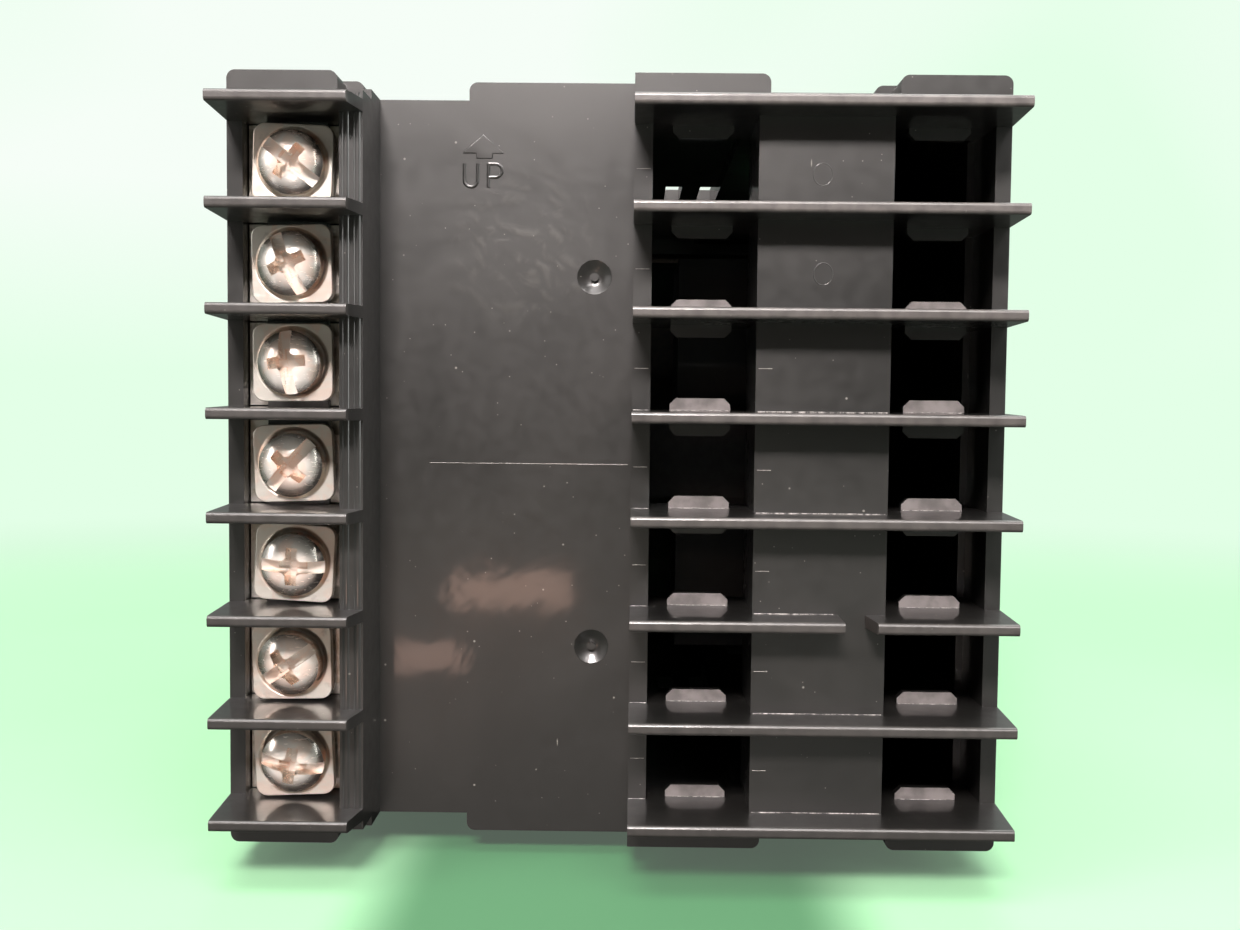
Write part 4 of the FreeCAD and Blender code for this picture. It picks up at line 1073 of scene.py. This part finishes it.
# Name, place, target, width, height, power and colour of each light.
LIGHTS = (
    ("main light", (0.045, 0.495, 0.30), REAR, 0.16, 0.07, "main_power", (1.0, 0.915, 0.885)),
    ("back light", (-0.10, -0.34, 0.46), (0.0, 0.05, 0.0), 0.5, 0.3, "back_power", (0.96, 1.0, 0.96)),
    ("left soft light", (0.52, 0.34, 0.22), (0.0, 0.07, 0.0), 0.10, 0.40, 1.1, (1.0, 0.96, 0.93)),
    ("window light", (-0.22, 0.44, 0.33), REAR, 0.22, 0.08, 0.6, (1.0, 0.96, 0.94)),
    ("right soft light", (-0.55, 0.30, 0.10), (0.0, 0.07, 0.0), 0.25, 0.45, 1.8, (0.97, 1.0, 0.96)),
    ("top soft light", (0.05, 0.26, 0.52), REAR, 0.45, 0.22, 2.2, (1.0, 0.97, 0.95)),
    # Two small warm lights, low down, that the panel mirrors beside its lower gate.
    ("upper glow", (0.0213, 0.215, -0.031), (0.010, PANEL_FACE, -0.012), 0.022, 0.006, 0.0024,
     (1.0, 0.61, 0.47)),
    ("lower glow", (0.0265, 0.150, -0.0303), (0.0167, PANEL_FACE, -0.0176), 0.009, 0.004, 0.0005,
     (1.0, 0.61, 0.48)),
)


def pale_floor(colour):
    """Matt pale floor that keeps the shadow, with a painted shadow below the terminals, and shows its own
    colour to the camera.
    """
    f = Finish("Pale floor")
    field = f.noise(9.0, 3.0)
    deep = opaque([v * w for v, w in zip(colour, (0.46, 0.72, 0.50))])
    tint = f.blend(f.ranged(field, 0.3, 0.7), deep, opaque([v * 1.05 for v in deep[:3]]))
    # A painted shadow: a darker green patch of ground below the terminals.
    way = f.axes(f.place)
    beside = f.ranged(f.math("ABSOLUTE", way["X"]), 24 * MM, 15 * MM)
    before = f.ranged(f.math("ABSOLUTE", f.minus(way["Y"], 96 * MM)), 34 * MM, 14 * MM)
    tint = f.blend(f.times(beside, before), tint, (0.045, 0.20, 0.07, 1.0))
    # Other rays meet a dark floor, so that it sends little light back to the object.
    path = f.add("ShaderNodeLightPath").outputs
    f.ends(f.blend(path["Is Camera Ray"], (0.025, 0.032, 0.024, 1.0), tint), 0.7)
    # Its own light is seen more and more away from the object, and a little of it in metal and glass.
    light = f.out(0, "ShaderNodeEmission", {"Color": opaque(colour), "Strength": 1.0})
    mirrored = f.math("MAXIMUM", path["Is Glossy Ray"], path["Is Transmission Ray"])
    seen = f.math("MAXIMUM", path["Is Camera Ray"], f.times(mirrored, 0.05))
    away = f.ranged(f.distance((0, 0.05, 0)), 0.055, 0.34, 0.12, 1.0)
    both = f.out(0, "ShaderNodeMixShader", {0: f.times(seen, away), 1: f.shader.outputs[0], 2: light})
    f.feed(f.tree.nodes["Material Output"].inputs["Surface"], both)
    return f.material


def floor(colour):
    """The ground just below the object."""
    bm = bmesh.new()
    bmesh.ops.create_grid(bm, x_segments=2, y_segments=2, size=4.0)
    obj = placed("floor", plain_mesh("floor", bm))
    obj.data.materials.append(pale_floor(colour))
    obj.location.z = CAD_BOX[0].z - 0.05 * MM


def pale_room(backdrop, strength):
    """Dim light from all round, darker from the terminals' side, and a pale, patchy backdrop to look at."""
    world = bpy.data.worlds.new("Pale room")
    bpy.context.scene.world = world
    world.use_nodes = True
    world.node_tree.nodes.clear()
    t = Tree(world.node_tree)
    direction = t.out("Generated", "ShaderNodeTexCoord")
    way = t.axes(direction)

    def rise(value, low, high):
        return t.out(0, "ShaderNodeMapRange", {"Value": value, "From Min": low, "From Max": high})

    def glow(tint, power):
        return t.out(0, "ShaderNodeBackground", {"Color": tint, "Strength": power})

    around = t.blend(rise(way["Y"], 0.35, 0.88), (0.92, 1.0, 0.92, 1.0), (0.24, 0.20, 0.18, 1.0))
    patches = t.out("Fac", "ShaderNodeTexNoise", {"Vector": direction, "Scale": 2.6, "Detail": 1.0})
    paler = t.times(rise(patches, 0.40, 0.60), rise(way["Z"], 0.02, 0.16))
    distant = t.blend(paler, opaque(backdrop), (0.92, 0.99, 0.93, 1.0))
    seen = t.out("Is Camera Ray", "ShaderNodeLightPath")
    either = t.out(0, "ShaderNodeMixShader", {0: seen, 1: glow(around, strength), 2: glow(distant, 1.0)})
    t.add("ShaderNodeOutputWorld", {"Surface": either})


def lamp(name, place, target, width, height, power, colour):
    """A soft rectangular light aimed at a point."""
    data = bpy.data.lights.new(name, "AREA")
    data.shape = "RECTANGLE"
    data.size, data.size_y = width, height
    data.energy = power
    data.color = colour
    obj = placed(name, data)
    obj.location = place
    obj.rotation_euler = (Vector(target) - Vector(place)).to_track_quat("-Z", "Y").to_euler()


def camera():
    """The camera at the terminals' side."""
    data = bpy.data.cameras.new("camera")
    data.lens = CAMERA_LENS
    data.sensor_width = 36.0
    data.clip_start, data.clip_end = 0.005, 20.0
    obj = placed("camera", data)
    obj.matrix_world = Matrix.Translation(CAMERA_PLACE) @ Matrix(CAMERA_AXES).transposed().to_4x4()
    return obj


class CONTROLLER_OT_stage(bpy.types.Operator):
    """Set up the pale floor, the soft light and the camera"""

    bl_idname = "controller.stage"
    bl_label = "Stage"

    def execute(self, context):
        c = looks()
        floor(c.backdrop)
        pale_room(c.backdrop, c.room_light)
        for name, place, target, width, height, power, tint in LIGHTS:
            if isinstance(power, str):
                power = getattr(c, power)
            lamp(name, place, target, width, height, power, tint)
        context.scene.camera = camera()
        context.scene.view_settings.view_transform = "Standard"
        return {"FINISHED"}


OPERATORS = (
    CONTROLLER_OT_case, CONTROLLER_OT_marks, CONTROLLER_OT_witness, CONTROLLER_OT_screws,
    CONTROLLER_OT_washers, CONTROLLER_OT_plates, CONTROLLER_OT_display, CONTROLLER_OT_keys,
    CONTROLLER_OT_inside, CONTROLLER_OT_stage,
)


class CONTROLLER_PT_panel(bpy.types.Panel):
    """Lists the controller's pieces"""

    bl_idname = "CONTROLLER_PT_panel"
    bl_label = "Temperature controller"
    bl_space_type = "VIEW_3D"
    bl_region_type = "UI"
    bl_category = "Controller"

    def draw(self, context):
        column = self.layout.column()
        for group in (context.scene.controller_sizes, context.scene.controller_looks):
            for key in group.__annotations__:
                column.prop(group, key)
        for operator in OPERATORS:
            column.operator(operator.bl_idname)


CLASSES = (ControllerSizes, ControllerLooks, *OPERATORS, CONTROLLER_PT_panel)


def register():
    for item in CLASSES:
        bpy.utils.register_class(item)
    bpy.types.Scene.controller_sizes = PointerProperty(type=ControllerSizes)
    bpy.types.Scene.controller_looks = PointerProperty(type=ControllerLooks)


def unregister():
    del bpy.types.Scene.controller_looks
    del bpy.types.Scene.controller_sizes
    for item in reversed(CLASSES):
        bpy.utils.unregister_class(item)


def main():
    register()
    bpy.ops.controller.case()
    bpy.ops.controller.marks()
    bpy.ops.controller.witness()
    bpy.ops.controller.screws()
    bpy.ops.controller.washers()
    bpy.ops.controller.plates()
    bpy.ops.controller.display()
    bpy.ops.controller.keys()
    bpy.ops.controller.inside()
    bpy.ops.controller.stage()


if __name__ == "__main__":
    main()
